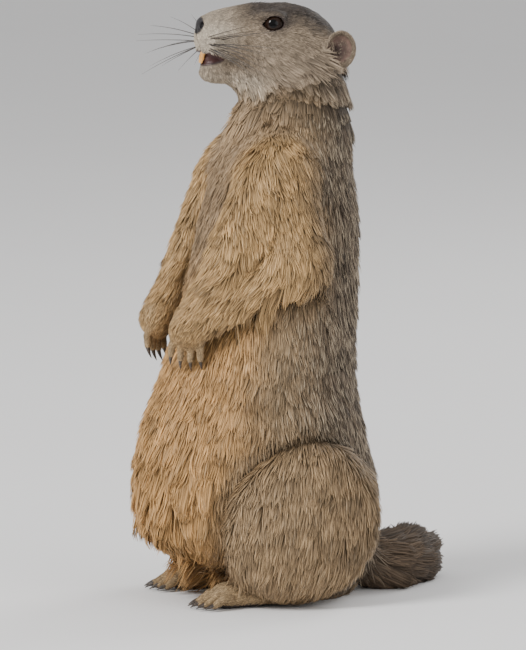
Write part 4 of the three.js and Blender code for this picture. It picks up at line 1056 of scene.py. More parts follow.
@dataclass(frozen=True)
class Tones:
    """The coat's colours, with painted shade in the creases where limbs meet the trunk, in the mouth and deep
    in the ears.
    """

    crown: Triple = (0.052, 0.041, 0.034)
    muzzle: Triple = (0.42, 0.36, 0.28)
    cheek: Triple = (0.215, 0.165, 0.115)
    throat: Triple = (0.30, 0.205, 0.115)
    back: Triple = (0.135, 0.102, 0.072)
    flank: Triple = (0.24, 0.165, 0.092)
    belly: Triple = (0.40, 0.225, 0.085)
    chest: Triple = (0.235, 0.158, 0.088)
    limb: Triple = (0.37, 0.23, 0.10)
    haunch: Triple = (0.265, 0.178, 0.096)
    # How much painted shade darkens the creases where arms and thighs meet the trunk.
    crease: float = 0.5
    paw: Triple = (0.36, 0.25, 0.135)
    tail_root: Triple = (0.105, 0.072, 0.046)
    tail_end: Triple = (0.016, 0.014, 0.013)
    ear: Triple = (0.22, 0.17, 0.12)
    ear_inside: Triple = (0.14, 0.088, 0.068)
    # Painted shade deep in the ear's cup.
    ear_hollow_shade: Triple = (0.035, 0.021, 0.017)
    nose: Triple = (0.018, 0.016, 0.017)
    lip: Triple = (0.045, 0.030, 0.028)
    # The mouth's inside: its own dark red, painted nearly black as painted shade.
    mouth: Triple = (0.05, 0.017, 0.015)
    sole: Triple = (0.06, 0.048, 0.042)
    tip_pale: Triple = (0.50, 0.41, 0.29)
    tip_dark: Triple = (0.035, 0.028, 0.022)
    dark_crown: Crown = Crown()
    pale_nose: Fade = Fade(16, 40)
    pale_top: Fade = Fade(446, 456)
    pale_top_share: float = 0.55
    chin_level: Fade = Fade(405, 422)
    chin_back: Fade = Fade(-12, 4)
    chin_share: float = 0.7
    eye_patch: Fade = Fade(9, 17)
    eye_patch_share: float = 0.55
    eye_patch_tone: float = 1.3
    back_turn: Fade = Fade(-0.1, 0.65)
    limb_turn: Fade = Fade(-0.1, 0.8)
    front_turn: Fade = Fade(0.05, 0.6)
    chest_level: float = 300.0
    chest_fade: Fade = Fade(0, 90)
    throat_level: Fade = Fade(330, 395)
    tail_back: Fade = Fade(96, 150)
    tail_side: Fade = Fade(30, 88)
    tail_shares: Pair = (0.45, 0.55)
    ear_shade: float = 0.3
    # Where the crease mask runs: it places the painted crease shade, and the shorter, looser hair there.
    arm_crease: float = 330.0
    arm_crease_fade: Fade = Fade(0, 40)
    thigh_crease: float = 165.0
    thigh_crease_fade: Fade = Fade(0, 30)
    crease_gain: float = 4.0
    skin_dim: Pair = (0.86, 0.62)
    skin_dim_fade: Fade = Fade(26, 56)
    # Where the mouth's painted shade begins and ends.
    mouth_edge: Fade = Fade(-0.4, 0.5)
    mouth_start: Fade = Fade(30, 33)
    mouth_end: Fade = Fade(48, 54)

    def head(self, regions: Regions, p: Array) -> Array:
        """The head's colour: cheek, pale muzzle and chin, dark crown and dark round the eye."""
        q, nose = sided(p), regions.from_nose(p)
        pale = (1 - self.pale_nose(nose)) * (1 - self.pale_top_share * self.pale_top(q[:, 2]))
        chin = self.chin_share * (1 - self.chin_level(q[:, 2])) * (1 - self.chin_back(q[:, 1]))
        crown = np.asarray(self.crown)
        tint = np.tile(self.cheek, (len(p), 1))
        tint = lerp(tint, self.muzzle, np.maximum(pale, chin)[:, None])
        tint = lerp(tint, crown, self.dark_crown(p, nose)[:, None])
        patch = 1 - self.eye_patch(regions.from_eye(p))
        return lerp(tint, crown * self.eye_patch_tone, (patch * self.eye_patch_share)[:, None])

    def trunk(self, p: Array, normals: Array) -> Array:
        """The trunk's colour: back, flank, chest, throat and belly."""
        rear = normals[:, 1]
        tint = lerp(self.flank, self.back, self.back_turn(rear)[:, None])
        front = self.front_turn(-rear)
        low = self.chest_fade(self.chest_level - p[:, 2])[:, None]
        tint = lerp(tint, lerp(self.chest, self.belly, low), front[:, None])
        return lerp(tint, self.throat, (self.throat_level(p[:, 2]) * front)[:, None])

    def markings(self, regions: Regions, p: Array, normals: Array) -> Array:
        """The coat's colour at points of the skin, with painted shade along the creases where arms and thighs
        meet the trunk.
        """
        share = regions.shares(p)
        core = lerp(self.head(regions, p), self.trunk(p, normals), regions.neck(p)[:, None])
        back, side = self.tail_shares
        along = self.tail_back(p[:, 1]) * back + self.tail_side(-p[:, 0]) * side
        tail = lerp(self.tail_root, self.tail_end, np.clip(along, 0, 1)[:, None])
        turn = self.limb_turn(normals[:, 1])[:, None]
        arm, thigh = (lerp(tone, self.flank, turn) for tone in (self.limb, self.haunch))
        ear = np.asarray(self.ear) * (1 - self.ear_shade * regions.ear_inside(p))[:, None]
        paw = np.asarray(self.paw)
        parts = {"core": core, "arm": arm, "thigh": thigh, "hand": paw, "foot": paw, "tail": tail, "ear": ear}
        tint = sum(parts[name] * share[name][:, None] for name in parts)
        # Painted shade: the coat and skin are darkened along the creases where arms and thighs meet the
        # trunk.
        limbs = (share["arm"] * self.arm_crease_fade(self.arm_crease - p[:, 2])
                 + share["thigh"] * self.thigh_crease_fade(self.thigh_crease - p[:, 2]))
        crease = np.clip(self.crease_gain * limbs * share["core"], 0, 1)
        return tint * (1 - self.crease * crease)[:, None]

    def skin(self, regions: Regions, p: Array, normals: Array) -> Array:
        """The skin's colour: the coat's markings darkened, with nose, lips, lids and soles; painted shade
        deep in the ears' cups, and the mouth's inside painted nearly black as shade.
        """
        dim = lerp(*self.skin_dim, self.skin_dim_fade(regions.from_nose(p)))
        tint = self.markings(regions, p, normals) * dim[:, None]
        # The ear's cup: its inner colour at the rim, running into painted shade deep inside.
        cup = lerp(self.ear_hollow_shade, self.ear_inside, regions.ear_rim(p)[:, None])
        in_ear, q = regions.ear_inside(p), sided(p)
        tint = lerp(tint, cup, in_ear[:, None])
        tint = lerp(tint, self.lip, (regions.bare(p) * (1 - in_ear))[:, None])
        # Painted shade: the mouth's inside, with tongue and gum, is painted nearly black.
        inside = 1 - self.mouth_edge(regions.body.mouth.opening(q))
        inside = inside * self.mouth_start(-q[:, 1]) * (1 - self.mouth_end(-q[:, 1]))
        tint = lerp(tint, self.mouth, inside[:, None])
        tint = lerp(tint, self.nose, regions.nose_pad(q)[:, None])
        return lerp(tint, self.sole, regions.soles(q)[:, None])


@dataclass(frozen=True)
class Tier:
    """A row of long locks whose tips end along one line round the back of the neck."""

    level: float
    climb: float
    reach: float = 24.0
    shade: float = 13.0

    def over(self, p: Array) -> Array:
        """How far points are over the line of the tips."""
        return p[:, 2] - self.level - self.climb * p[:, 1]


@dataclass(frozen=True)
class Growth:
    """How the coat lies: its direction, length and lift at points of the skin."""

    regions: Regions
    tones: Tones = Tones()
    tiers: tuple[Tier, ...] = (Tier(399.5, 0.2), Tier(396, -0.16))
    tier_start: float = 1.5
    tier_back: Fade = Fade(-12, 4)
    fringe_side: Triple = (0.35, 0.5, -0.8)
    fringe_turn: Fade = Fade(0.1, 0.75)
    fringe_top: Fade = Fade(285, 320)
    fringe_foot: Fade = Fade(208, 226)
    belly_turn: Fade = Fade(-0.1, 0.5)
    belly_top: Fade = Fade(90, 150)
    throat_turn: Fade = Fade(0.1, 0.6)
    throat_foot: Fade = Fade(376, 388)
    throat_top: Fade = Fade(402, 414)
    under_turn: Fade = Fade(0.0, 0.55)
    under_side: Fade = Fade(20, 42)
    head_back: Triple = (0, 0.35, 0)
    head_down: Triple = (0.0, 0.0, -0.5)
    head_under: Fade = Fade(-0.1, 0.3)
    trunk_way: Triple = (0.0, -0.12, -1.0)
    trunk_middle: Triple = (0, 4, 0)
    outward: Pair = (0.1, 0.9)
    low: float = 60.0
    low_fade: Fade = Fade(0, 50)
    bend_over: float = 20.0
    bend_slope: float = 0.5
    bend_fade: Fade = Fade(0, 50)
    arm_droop: Triple = (0, 0.1, -0.4)
    fringe_way: Triple = (0.25, 0.1, -0.9)
    thigh_way: Triple = (0.0, -0.22, -1.0)
    thigh_outward: float = 0.15
    foot_droop: Triple = (0, 0, -0.15)
    tail_droop: Triple = (0, 0, -0.1)
    tail_joints: int = 24
    ear_tuck: float = 0.4
    head_lengths: tuple[Pair, ...] = ((8, 1.6), (18, 2.6), (34, 3.8), (55, 5.2), (80, 8), (105, 12))
    eye_short: float = 0.55
    eye_fade: Fade = Fade(11, 20)
    mane: float = 12.0
    mane_level: Fade = Fade(412, 434)
    mane_back: Fade = Fade(-16, 14)
    trunk_length: float = 21.0
    nape_longer: float = 3.0
    nape_level: Fade = Fade(330, 400)
    belly_longer: float = 7.5
    groin_short: float = 0.42
    groin_level: Fade = Fade(24, 74)
    groin_side: Fade = Fade(14, 32)
    throat_longer: float = 3.0
    tier_longer: Pair = (1.1, 2.0)
    arm_length: float = 16.5
    fringe_longer: float = 10.0
    wrist_shorter: float = 13.0
    wrist_level: Fade = Fade(204, 252)
    thigh_length: float = 21.0
    ankle_shorter: float = 9.0
    ankle_level: Fade = Fade(8, 40)
    hand_length: float = 2.3
    cuff_longer: float = 4.0
    cuff_level: Fade = Fade(206, 220)
    foot_length: float = 2.8
    tail_length: float = 28.0
    tail_longer: float = 8.0
    tail_side: Fade = Fade(10, 80)
    ear_length: float = 2.8
    ear_shorter: float = 1.1
    crease_shorter: float = 0.4
    head_rise: Pair = (0.13, 0.08)
    trunk_rise: float = 0.2
    belly_rise: Pair = (0.12, 0.4)
    throat_rise: float = 0.22
    tier_rise: float = 0.26
    arm_rise: Pair = (0.21, 0.15)
    other_rises: tuple[tuple[str, float], ...] = (
        ("thigh", 0.22), ("hand", 0.12), ("foot", 0.13), ("tail", 0.34), ("ear", 0.1))

    def ruff(self, p: Array) -> tuple[Array, Array]:
        """How far roots are over the tips of their tier, and how much they belong to one."""
        reach = np.zeros(len(p))
        for tier in self.tiers:
            over = tier.over(p)
            reach = np.where((over > self.tier_start) & (over < tier.reach) & (reach == 0), over, reach)
        return reach, (reach > 0) * self.tier_back(p[:, 1])

    def shaded(self, p: Array) -> Array:
        """How much roots lie in the shade of the tier over them."""
        shade = np.zeros(len(p))
        for tier in self.tiers:
            under = -tier.over(p)
            shade = np.maximum(shade, (under > -self.tier_start) * (1 - smooth(under, 2, tier.shade)))
        return shade * self.tier_back(p[:, 1])

    def flip(self, p: Array) -> Array:
        """What turns directions of the left side to each point's own side."""
        return np.hstack([np.sign(p[:, :1] + TINY), np.ones((len(p), 2))])

    def fringe(self, p: Array, normals: Array) -> Array:
        """How much points of an arm belong to the fringe along its lower edge."""
        facing = (normals * self.flip(p)) @ unit(np.asarray(self.fringe_side))
        return self.fringe_turn(facing) * (1 - self.fringe_top(p[:, 2])) * self.fringe_foot(p[:, 2])

    def belly(self, p: Array, normals: Array) -> Array:
        """How much points of the trunk belong to the shaggy lower belly."""
        return self.belly_turn(-normals[:, 1]) * (1 - self.belly_top(p[:, 2]))

    def throat(self, p: Array, normals: Array) -> Array:
        """How much points belong to the throat."""
        return self.throat_turn(-normals[:, 1]) * self.throat_foot(p[:, 2]) * (1 - self.throat_top(p[:, 2]))

    def shag(self, p: Array, normals: Array, share: Shares) -> Array:
        """How much the coat hangs in separate locks."""
        core = np.maximum.reduce([self.ruff(p)[1], self.belly(p, normals), self.throat(p, normals)])
        return share["core"] * core + share["arm"] * self.fringe(p, normals) + 0.5 * share["tail"]

    def crease(self, p: Array, share: Shares) -> Array:
        """1 along the lines where arms and thighs meet the trunk."""
        tones = self.tones
        limbs = share["arm"] * tones.arm_crease_fade(tones.arm_crease - p[:, 2]) + share["thigh"]
        return np.clip(tones.crease_gain * share["core"] * limbs, 0, 1)

    def lie(self, p: Array, normals: Array, share: Shares) -> Array:
        """The way that the hair lies, along the skin."""
        ways = {**self._trunk_ways(p), **self._limb_ways(p, normals)}
        total = sum(ways[name] * share[name][:, None] for name in self.regions.names)
        flat = total - np.sum(total * normals, axis=1, keepdims=True) * normals
        return unit(flat)

    def _trunk_ways(self, p: Array) -> Shares:
        """Ways on trunk and head, thighs and tail, before they are laid along the skin."""
        body = self.regions.body
        away = unit(p - np.asarray(body.nose))
        head = away + self.head_back + np.asarray(self.head_down) * self.head_under(-away[:, 2:])
        radial = unit((p - self.trunk_middle) * (1, 1, 0))
        least, more = self.outward
        trunk = self.trunk_way + radial * (least + more * self.low_fade(self.low - p[:, 2])[:, None])
        line = body.tail.line(self.tail_joints)
        nearest = np.argmin(np.linalg.norm(p[:, None, :] - line[None], axis=-1), axis=1)
        return {
            "core": lerp(head, trunk, self.regions.neck(p)[:, None]),
            "thigh": self.thigh_way + radial * self.thigh_outward,
            "tail": unit(np.gradient(line, axis=0))[nearest] + self.tail_droop,
        }

    def _limb_ways(self, p: Array, normals: Array) -> Shares:
        """Ways on arms, hands, feet and ears, before they are laid along the skin."""
        q, flip = sided(p), self.flip(p)
        limbs, ear = self.regions.body.limbs, self.regions.body.ear
        upper = unit(np.asarray(limbs.elbow) - np.asarray(limbs.shoulder))
        fore = unit(np.asarray(limbs.wrist) - np.asarray(limbs.elbow))
        bend = self.bend_fade(limbs.elbow[2] + self.bend_over - q[:, 2] - self.bend_slope * q[:, 1])[:, None]
        fringe = self.fringe(p, normals)[:, None]
        _, down, _, _ = limbs.hand_frame()
        _, forward, _ = limbs.foot_frame()
        foot = np.asarray(ear.place) - ear.axes()[1] * ear.height
        return {
            "arm": (lerp(upper, fore, bend) + self.arm_droop + fringe * self.fringe_way) * flip,
            "hand": down * flip,
            "foot": (forward + self.foot_droop) * flip,
            "ear": (unit(q - foot) - np.asarray(ear.facing) * self.ear_tuck) * flip,
        }

    def length(self, p: Array, normals: Array, share: Shares) -> Array:
        """How long the hair is."""
        q, z = sided(p), p[:, 2]
        head = np.interp(self.regions.from_nose(p), *zip(*self.head_lengths))
        head = head * lerp(self.eye_short, 1.0, self.eye_fade(self.regions.from_eye(p)))
        head = head + self.mane * ((1 - self.mane_level(z)) * self.mane_back(q[:, 1]))
        trunk = self.trunk_length + self.nape_longer * self.nape_level(z)
        trunk = trunk + self.belly_longer * self.belly(p, normals)
        groin = np.maximum(self.groin_level(z), 1 - self.groin_side(q[:, 0]))
        trunk = trunk * lerp(self.groin_short, 1.0, groin) + self.throat_longer * self.throat(p, normals)
        reach, strength = self.ruff(p)
        times, more = self.tier_longer
        arm = self.arm_length + self.fringe_longer * self.fringe(p, normals)
        sizes = {
            "core": lerp(lerp(head, trunk, self.regions.neck(p)), reach * times + more, strength),
            "arm": arm - self.wrist_shorter * (1 - self.wrist_level(z)),
            "thigh": self.thigh_length - self.ankle_shorter * (1 - self.ankle_level(z)),
            "hand": self.hand_length + self.cuff_longer * self.cuff_level(z),
            "foot": self.foot_length,
            "tail": self.tail_length + self.tail_longer * self.tail_side(-p[:, 0]),
            "ear": self.ear_length - self.ear_shorter * self.regions.ear_inside(p),
        }
        crease = self.crease(p, share)
        return sum(sizes[name] * share[name] for name in sizes) * (1 - self.crease_shorter * crease)

    def rise(self, p: Array, normals: Array, share: Shares) -> Array:
        """How steeply the hair stands, as a share of its length."""
        flat, more = self.head_rise
        head = flat + more * (1 - self.mane_level(p[:, 2]))
        under = self.under_turn(-normals[:, 2]) * (1 - self.under_side(np.abs(p[:, 0])))
        flat, more = self.belly_rise
        trunk = self.trunk_rise + (flat + more * under) * self.belly(p, normals)
        trunk = trunk + self.throat_rise * self.throat(p, normals)
        core = lerp(head, trunk, self.regions.neck(p))
        flat, more = self.arm_rise
        sizes = {
            "core": lerp(core, self.tier_rise, self.ruff(p)[1]),
            "arm": flat + more * self.fringe(p, normals),
            **dict(self.other_rises),
        }
        return sum(sizes[name] * share[name] for name in sizes)


class Ground(Enum):
    """The part of the skin that a piece of the coat grows from."""

    HEAD = "head"
    EARS = "ears"
    NECK = "neck"
    FRONT = "front of the trunk"
    LEFT = "left side and back"
    RIGHT = "right side and back"
    ARMS = "arms"
    THIGHS = "thighs"
    PAWS = "hands and feet"
    TAIL = "tail"


@dataclass(frozen=True)
class Parting:
    """Where each piece of the coat ends and the next begins."""

    ear_overlap: float = 0.3
    face_end: float = 20.0
    face_denser: float = 1.2
    neck_level: float = 412.0
    neck_middle: float = 27.0
    neck_tilt: float = 0.17
    ruff_drop: float = 15.0
    ruff_back: Fade = Fade(-12, 10)
    neck_fade: Fade = Fade(0, 8)
    trunk_level: float = 352.0
    trunk_fade: Fade = Fade(0, 12)
    front: float = -0.25

    def neck(self, p: Array) -> Array:
        """0 on the head and 1 on the neck and in the ruff."""
        tilt = (p[:, 1] - self.neck_middle) * self.neck_tilt
        return self.neck_fade((self.neck_level - p[:, 2]) + tilt + self.ruff_drop * self.ruff_back(p[:, 1]))

    def density(self, ground: Ground, share: Shares, p: Array, normals: Array) -> Array:
        """How densely a piece's tufts stand.

        Args:
            ground: the part of the skin that the piece grows from.
            share: the shares of the body's parts at points.
            p: the points.
            normals: the skin's normals there.

        Returns:
            A density for each point, 0 where none grows.
        """
        neck, low = self.neck(p), self.trunk_fade(self.trunk_level - p[:, 2])
        ahead, left = normals[:, 1] < self.front, p[:, 0] >= 0
        head = (share["core"] + self.ear_overlap * share["ear"]) * (1 - neck)
        trunk = share["core"] * low
        densities = {
            Ground.HEAD: head * (1 + self.face_denser * (p[:, 1] < self.face_end)),
            Ground.EARS: share["ear"],
            Ground.NECK: share["core"] * neck * (1 - low),
            Ground.FRONT: trunk * ahead,
            Ground.LEFT: trunk * ~ahead * left,
            Ground.RIGHT: trunk * ~ahead * ~left,
            Ground.ARMS: share["arm"],
            Ground.THIGHS: share["thigh"],
            Ground.PAWS: share["hand"] + share["foot"],
            Ground.TAIL: share["tail"],
        }
        return densities[ground]


@dataclass(frozen=True)
class CoatPart:
    """One piece of the coat: where it grows, how many tufts it has and how finely they bend."""

    name: str
    slot: str
    ground: Ground
    tufts: int
    clump: float = 9.0
    gather: float = 0.45
    rings: tuple[float, ...] = LONG_HAIR


COAT_PARTS: tuple[CoatPart, ...] = (
    CoatPart("coat_head", "face", Ground.HEAD, 32000, clump=4.5, gather=0.35, rings=SHORT_HAIR),
    CoatPart("coat_ears", "face", Ground.EARS, 5000, clump=3.0, gather=0.3, rings=SHORT_HAIR),
    CoatPart("coat_neck", "coat", Ground.NECK, 18500, clump=8.5, gather=0.55),
    CoatPart("coat_front", "coat", Ground.FRONT, 19500),
    CoatPart("coat_side_left", "coat", Ground.LEFT, 15500),
    CoatPart("coat_side_right", "coat", Ground.RIGHT, 15500),
    CoatPart("coat_arms", "limb", Ground.ARMS, 19000, clump=8.0),
    CoatPart("coat_thighs", "limb", Ground.THIGHS, 19500),
    CoatPart("coat_paws", "limb", Ground.PAWS, 16000, clump=3.0, gather=0.2, rings=SHORT_HAIR),
    CoatPart("coat_tail", "tail", Ground.TAIL, 12000, clump=12.0),
)


@dataclass
class Hide:
    """The one skin under the coat."""

    body: Anatomy
    regions: Regions
    tones: Tones
    place: Place
    replaced: tuple[str, ...] = ("torso", "neck", "head", "tail_base", "tail_end")
    paired: tuple[str, ...] = ("ear", "arm", "hand", "thigh", "foot")
    quick_widening: float = 2.0
    across: tuple[Span, ...] = (
        Span(-112, -72, 3),
        Span(-72, -22, 1, widens=True),
        Span(-22, 22, 1.5, widens=True),
        Span(22, 72, 1, widens=True),
        Span(72, 112, 3),
    )
    back: tuple[Span, ...] = (
        Span(-104, -94, 3),
        Span(-94, -40, 1, widens=True),
        Span(-40, 70, 1.5, widens=True),
        Span(70, 184, 3),
    )
    up: tuple[Span, ...] = (
        Span(-2, 24, 1.2),
        Span(24, 180, 4),
        Span(180, 220, 1.5),
        Span(220, 395, 4),
        Span(395, 474, 1.2, widens=True),
    )

    def __post_init__(self) -> None:
        """Works out the skin's surface and its colours."""
        widening = 1.0
        lines = (grid_lines(spans, widening) for spans in (self.across, self.back, self.up))
        net = SurfaceNet(self.body, *lines)
        self.points, self.faces = net.points, net.faces
        self.normals, _ = slope_of(self.body, self.points)
        self.piece = Piece("skin", self.place, self.points, self.faces)
        self.piece.colours("tint", self.tones.skin(self.regions, self.points, self.normals))
        self.piece.numbers("wet", self.regions.wet(self.points))
        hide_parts(*self.replaced)
        for side, _ in SIDES:
            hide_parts(*(f"{part}_{side}" for part in self.paired))

    def dress(self) -> None:
        """Gives the skin its material."""
        self.piece.dress(SkinFinish().make(), "skin")


@dataclass
class Coat:
    """Thousands of fine tufts that grow from the skin."""

    hide: Hide
    growth: Growth
    place: Place
    parting: Parting = Parting()
    quick_share: int = 4
    thin: float = 0.34
    broaden: float = 0.043
    thickness: Pair = (0.7, 1.3)
    ruff_narrower: float = 0.3
    taper: Triple = (0.5, 0.5, 0.36)
    keel: float = 0.7
    floor: float = 0.4
    sunk: float = 0.5
    correction: float = 9.0
    correction_share: float = 0.8
    cut: float = 1.8
    shortest: float = 0.4
    sway: float = 0.14
    lengths: Pair = (0.72, 1.12)
    rises: Pair = (0.45, 1.35)
    lock_lengths: Pair = (0.08, 0.17)
    lock_limits: Pair = (0.6, 1.5)
    lock_spacing: Pair = (0.5, 1.4)
    lock_fade: Pair = (0.8, 1.7)
    lock_width: float = 0.12
    shag_gather: float = 0.35
    pulls: Pair = (0.7, 1.05)
    pull_power: float = 1.4
    lift_power: float = 1.15
    lock_tone: float = 0.14
    hair_tone: Pair = (1.03, 0.16)
    tone_limits: Pair = (0.5, 1.55)
    tier_shade: float = 0.42
    tier_shade_end: float = 12.0
    rear_turn: Fade = Fade(-0.3, 0.5)
    grizzle: Pair = (0.25, 0.55)
    pale_share: float = 0.5
    dark_share: float = 0.4
    tip_tone: float = 1.22
    tail_tip_tone: float = 1.1
    ruff_tip_tone: float = 0.35
    tip_head: float = 0.25
    tip_head_fade: Fade = Fade(20, 60)
    tip_rear: float = 0.6
    root_tone: float = 0.36
    root_end: float = 0.55
    tip_start: float = 0.5
    patch: float = 0.003

    def __post_init__(self) -> None:
        """Measures the skin that the tufts grow from."""
        hide, regions = self.hide, self.growth.regions
        quads = hide.points[hide.faces]
        self.centres = quads.mean(axis=1)
        diagonals = np.cross(quads[:, 2] - quads[:, 0], quads[:, 3] - quads[:, 1])
        self.areas = 0.5 * np.linalg.norm(diagonals, axis=1)
        self.facing = unit(hide.normals[hide.faces].mean(axis=1))
        self.shares = regions.shares(self.centres)
        self.free = 1 - regions.bare(self.centres)
        self.draw = np.random.default_rng(SEED)

    def density(self, part: CoatPart) -> Array:
        """How densely a piece's tufts stand on each face of the skin."""
        return self.parting.density(part.ground, self.shares, self.centres, self.facing)

    def roots(self, part: CoatPart) -> tuple[Array, Array]:
        """Where a piece's tufts grow, and the skin's normals there."""
        weight = self.areas * self.free * self.density(part)
        count = part.tufts // 1
        faces = self.hide.faces[self.draw.choice(len(weight), count, p=weight / weight.sum())]
        a, b = self.draw.random((2, count, 1))
        mixes = ((1 - a) * (1 - b), a * (1 - b), a * b, (1 - a) * b)
        points = sum(self.hide.points[faces[:, n]] * mixes[n] for n in range(4))
        normals = unit(sum(self.hide.normals[faces[:, n]] * mixes[n] for n in range(4)))
        return points, normals

    def gathered(self, part: CoatPart, roots: Array, lengths: Array) -> Array:
        """The number of the tuft at the middle of the lock that each tuft belongs to."""
        spacing = part.clump * np.clip(lengths / lengths.mean(), *self.lock_spacing)
        order = self.draw.permutation(len(roots))
        area = float((self.areas * np.clip(self.density(part), 0, 1)).sum())
        crowding = len(roots) / max(area, 1.0)
        leads = order[self.draw.random(len(order)) < 1.0 / (crowding * spacing[order] ** 2)]
        leads = leads if len(leads) else order[:1]
        tree = KDTree(len(leads))
        for number, lead in enumerate(leads):
            tree.insert(roots[lead], number)
        tree.balance()
        return leads[np.array([tree.find(root)[1] for root in roots])]

    def lay(self, roots: Array, normals: Array, way: Array, reach: Array, height: Array) -> Array:
        """Points at a reach along the lie and a height over the skin."""
        points = roots + way * reach[:, None] + normals * height[:, None]
        for _ in range(2):
            off = np.clip(self.growth.regions.body(points) - height, -self.correction, self.correction)
            points = points - normals * (off * self.correction_share)[:, None]
        return points

    def tufts(self, part: CoatPart) -> Piece:
        """Builds one piece of the coat."""
        growth, regions = self.growth, self.growth.regions
        roots, normals = self.roots(part)
        share, count = regions.shares(roots), len(roots)
        way = growth.lie(roots, normals, share)
        way = unit(way + np.cross(normals, way) * self.draw.normal(0, self.sway, (count, 1)))
        length = growth.length(roots, normals, share) * self.draw.uniform(*self.lengths, count)
        rise = growth.rise(roots, normals, share) * self.draw.uniform(*self.rises, count)
        buried = np.maximum(-regions.body(roots + way * length[:, None]), 0) / length
        length = length * np.clip(1 - self.cut * buried, self.shortest, 1)
        lead = self.gathered(part, roots, length)
        shag = growth.shag(roots, normals, share)
        even, uneven = self.lock_lengths
        longer = 1 + self.draw.normal(0, 1, count)[lead] * (even + uneven * shag)
        length = length * np.clip(longer, *self.lock_limits)
        gather = (part.gather + self.shag_gather * shag) * self.loose(part, roots, lead, share)
        bend = np.clip(1 - rise**2, 0.5, 1)
        rows = []
        for along in (*part.rings[1:], 1.0):
            row = self.lay(roots, normals, way, length * along * bend, length * rise * along**self.lift_power)
            pull = gather[:, None] * along**self.pull_power * self.draw.uniform(*self.pulls, (count, 1))
            rows.append(lerp(row, row[lead] + (roots - roots[lead]) * self.lock_width, pull))
        rows.insert(0, roots - normals * self.sunk)
        return self._strips(part, roots, normals, rows, length, lead, share)

    def loose(self, part: CoatPart, roots: Array, lead: Array, share: Shares) -> Array:
        """How free tufts are to gather: 0 in creases, at the tail's root and far from their lock's middle."""
        tail = np.clip(self.growth.tones.crease_gain * share["core"] * share["tail"], 0, 1)
        free = 1 - np.maximum(self.growth.crease(roots, share), tail)
        apart = np.linalg.norm(roots - roots[lead], axis=1)
        near, far = (edge * part.clump for edge in self.lock_fade)
        return free * (1 - smooth(apart, near, far))

    def _strips(self, part: CoatPart, roots: Array, normals: Array, rows: list[Array], length: Array,
                lead: Array, share: Shares) -> Piece:
        """Turns the tufts' middle lines into keeled strips.

        Args:
            part: the piece being built.
            roots: where the tufts grow.
            normals: the skin's normals there.
            rows: the points of their middle lines, from root to tip.
            length: the tufts' lengths.
            lead: the number of each tuft's lock.
            share: the parts of the body at the roots.

        Returns:
            The piece.
        """
        count, rings = len(roots), len(rows) - 1
        size = rings * 3 + 1
        width = (self.thin + self.broaden * length) * self.draw.uniform(*self.thickness, count)
        width = width * (1 - self.ruff_narrower * self.growth.ruff(roots)[1] * share["core"])
        points, along = np.empty((count, size, 3)), np.ones((count, size))
        side = np.tile([*([-1.0, 0.0, 1.0] * rings), 0.0], (count, 1))
        for n in range(rings):
            ahead = unit(rows[n + 1] - rows[max(n - 1, 0)])
            across = unit(np.cross(normals, ahead))
            half = (width * self.taper[n])[:, None]
            points[:, n * 3] = rows[n] - across * half
            points[:, n * 3 + 1] = rows[n] + np.cross(ahead, across) * half * self.keel
            points[:, n * 3 + 2] = rows[n] + across * half
            along[:, n * 3:n * 3 + 3] = part.rings[n]
        points[:, -1] = rows[-1]
        points[:, :, 2] = np.maximum(points[:, :, 2], self.floor)
        pattern = []
        for a in (n * 3 + half for n in range(rings - 1) for half in range(2)):
            pattern += [(a, a + 1, a + 4), (a, a + 4, a + 3)]
        last = (rings - 1) * 3
        pattern += [(last, last + 1, size - 1), (last + 1, last + 2, size - 1)]
        faces = (np.arange(count)[:, None, None] * size + np.array(pattern)[None]).reshape(-1, 3)
        piece = Piece(part.name, self.place, points.reshape(-1, 3), faces)
        piece.colours("tint", self._tints(roots, normals, along, lead, share).reshape(-1, 3))
        piece.numbers("along", along)
        piece.numbers("side", side)
        piece.numbers("draw", np.repeat(self.draw.random(count), size))
        piece.bake_map(self._bake_places(roots, rings))
        return piece

    def _tints(self, roots: Array, normals: Array, along: Array, lead: Array, share: Shares) -> Array:
        """Colours of the tufts' points: darker roots, partly own colour and partly painted shade; painted
        shade under the ruff's tiers; pale or dark tips.
        """
        growth, tones, count = self.growth, self.growth.tones, len(roots)
        base = tones.markings(growth.regions, roots, normals)
        lock = self.draw.normal(1, self.lock_tone, count)[lead]
        base = base * (lock * self.draw.normal(*self.hair_tone, count)).clip(*self.tone_limits)[:, None]
        reach, strength = growth.ruff(roots)
        base = base * (1 - self.tier_shade * growth.shaded(roots) * (reach < self.tier_shade_end))[:, None]
        ruff = strength * share["core"]
        rear = self.rear_turn(normals[:, 1]) * share["core"] * growth.regions.neck(roots)
        least, more = self.grizzle
        grizzle = least + more * rear
        draw = self.draw.random(count)
        pale = (draw < self.pale_share * grizzle)[:, None]
        dark = (draw > 1 - self.dark_share * grizzle * (1 - ruff))[:, None]
        own = base * self.tip_tone
        tip = np.where(pale, np.asarray(tones.tip_pale), np.where(dark, np.asarray(tones.tip_dark), own))
        mixed = self.tip_head * self.tip_head_fade(growth.regions.from_nose(roots)) + self.tip_rear * rear
        tip = lerp(own, tip, mixed[:, None])
        tip = lerp(tip, base * self.tail_tip_tone, share["tail"][:, None])
        tip = tip * (1 + self.ruff_tip_tone * ruff)[:, None]
        # Darker roots: partly the hair's own dark base, partly painted shade deep in the coat.
        shade = np.clip(along / self.root_end, 0, 1)[:, :, None]
        colours = lerp((base * self.root_tone)[:, None], base[:, None], shade)
        return lerp(colours, tip[:, None], smooth(along, self.tip_start, 1.0)[:, :, None])

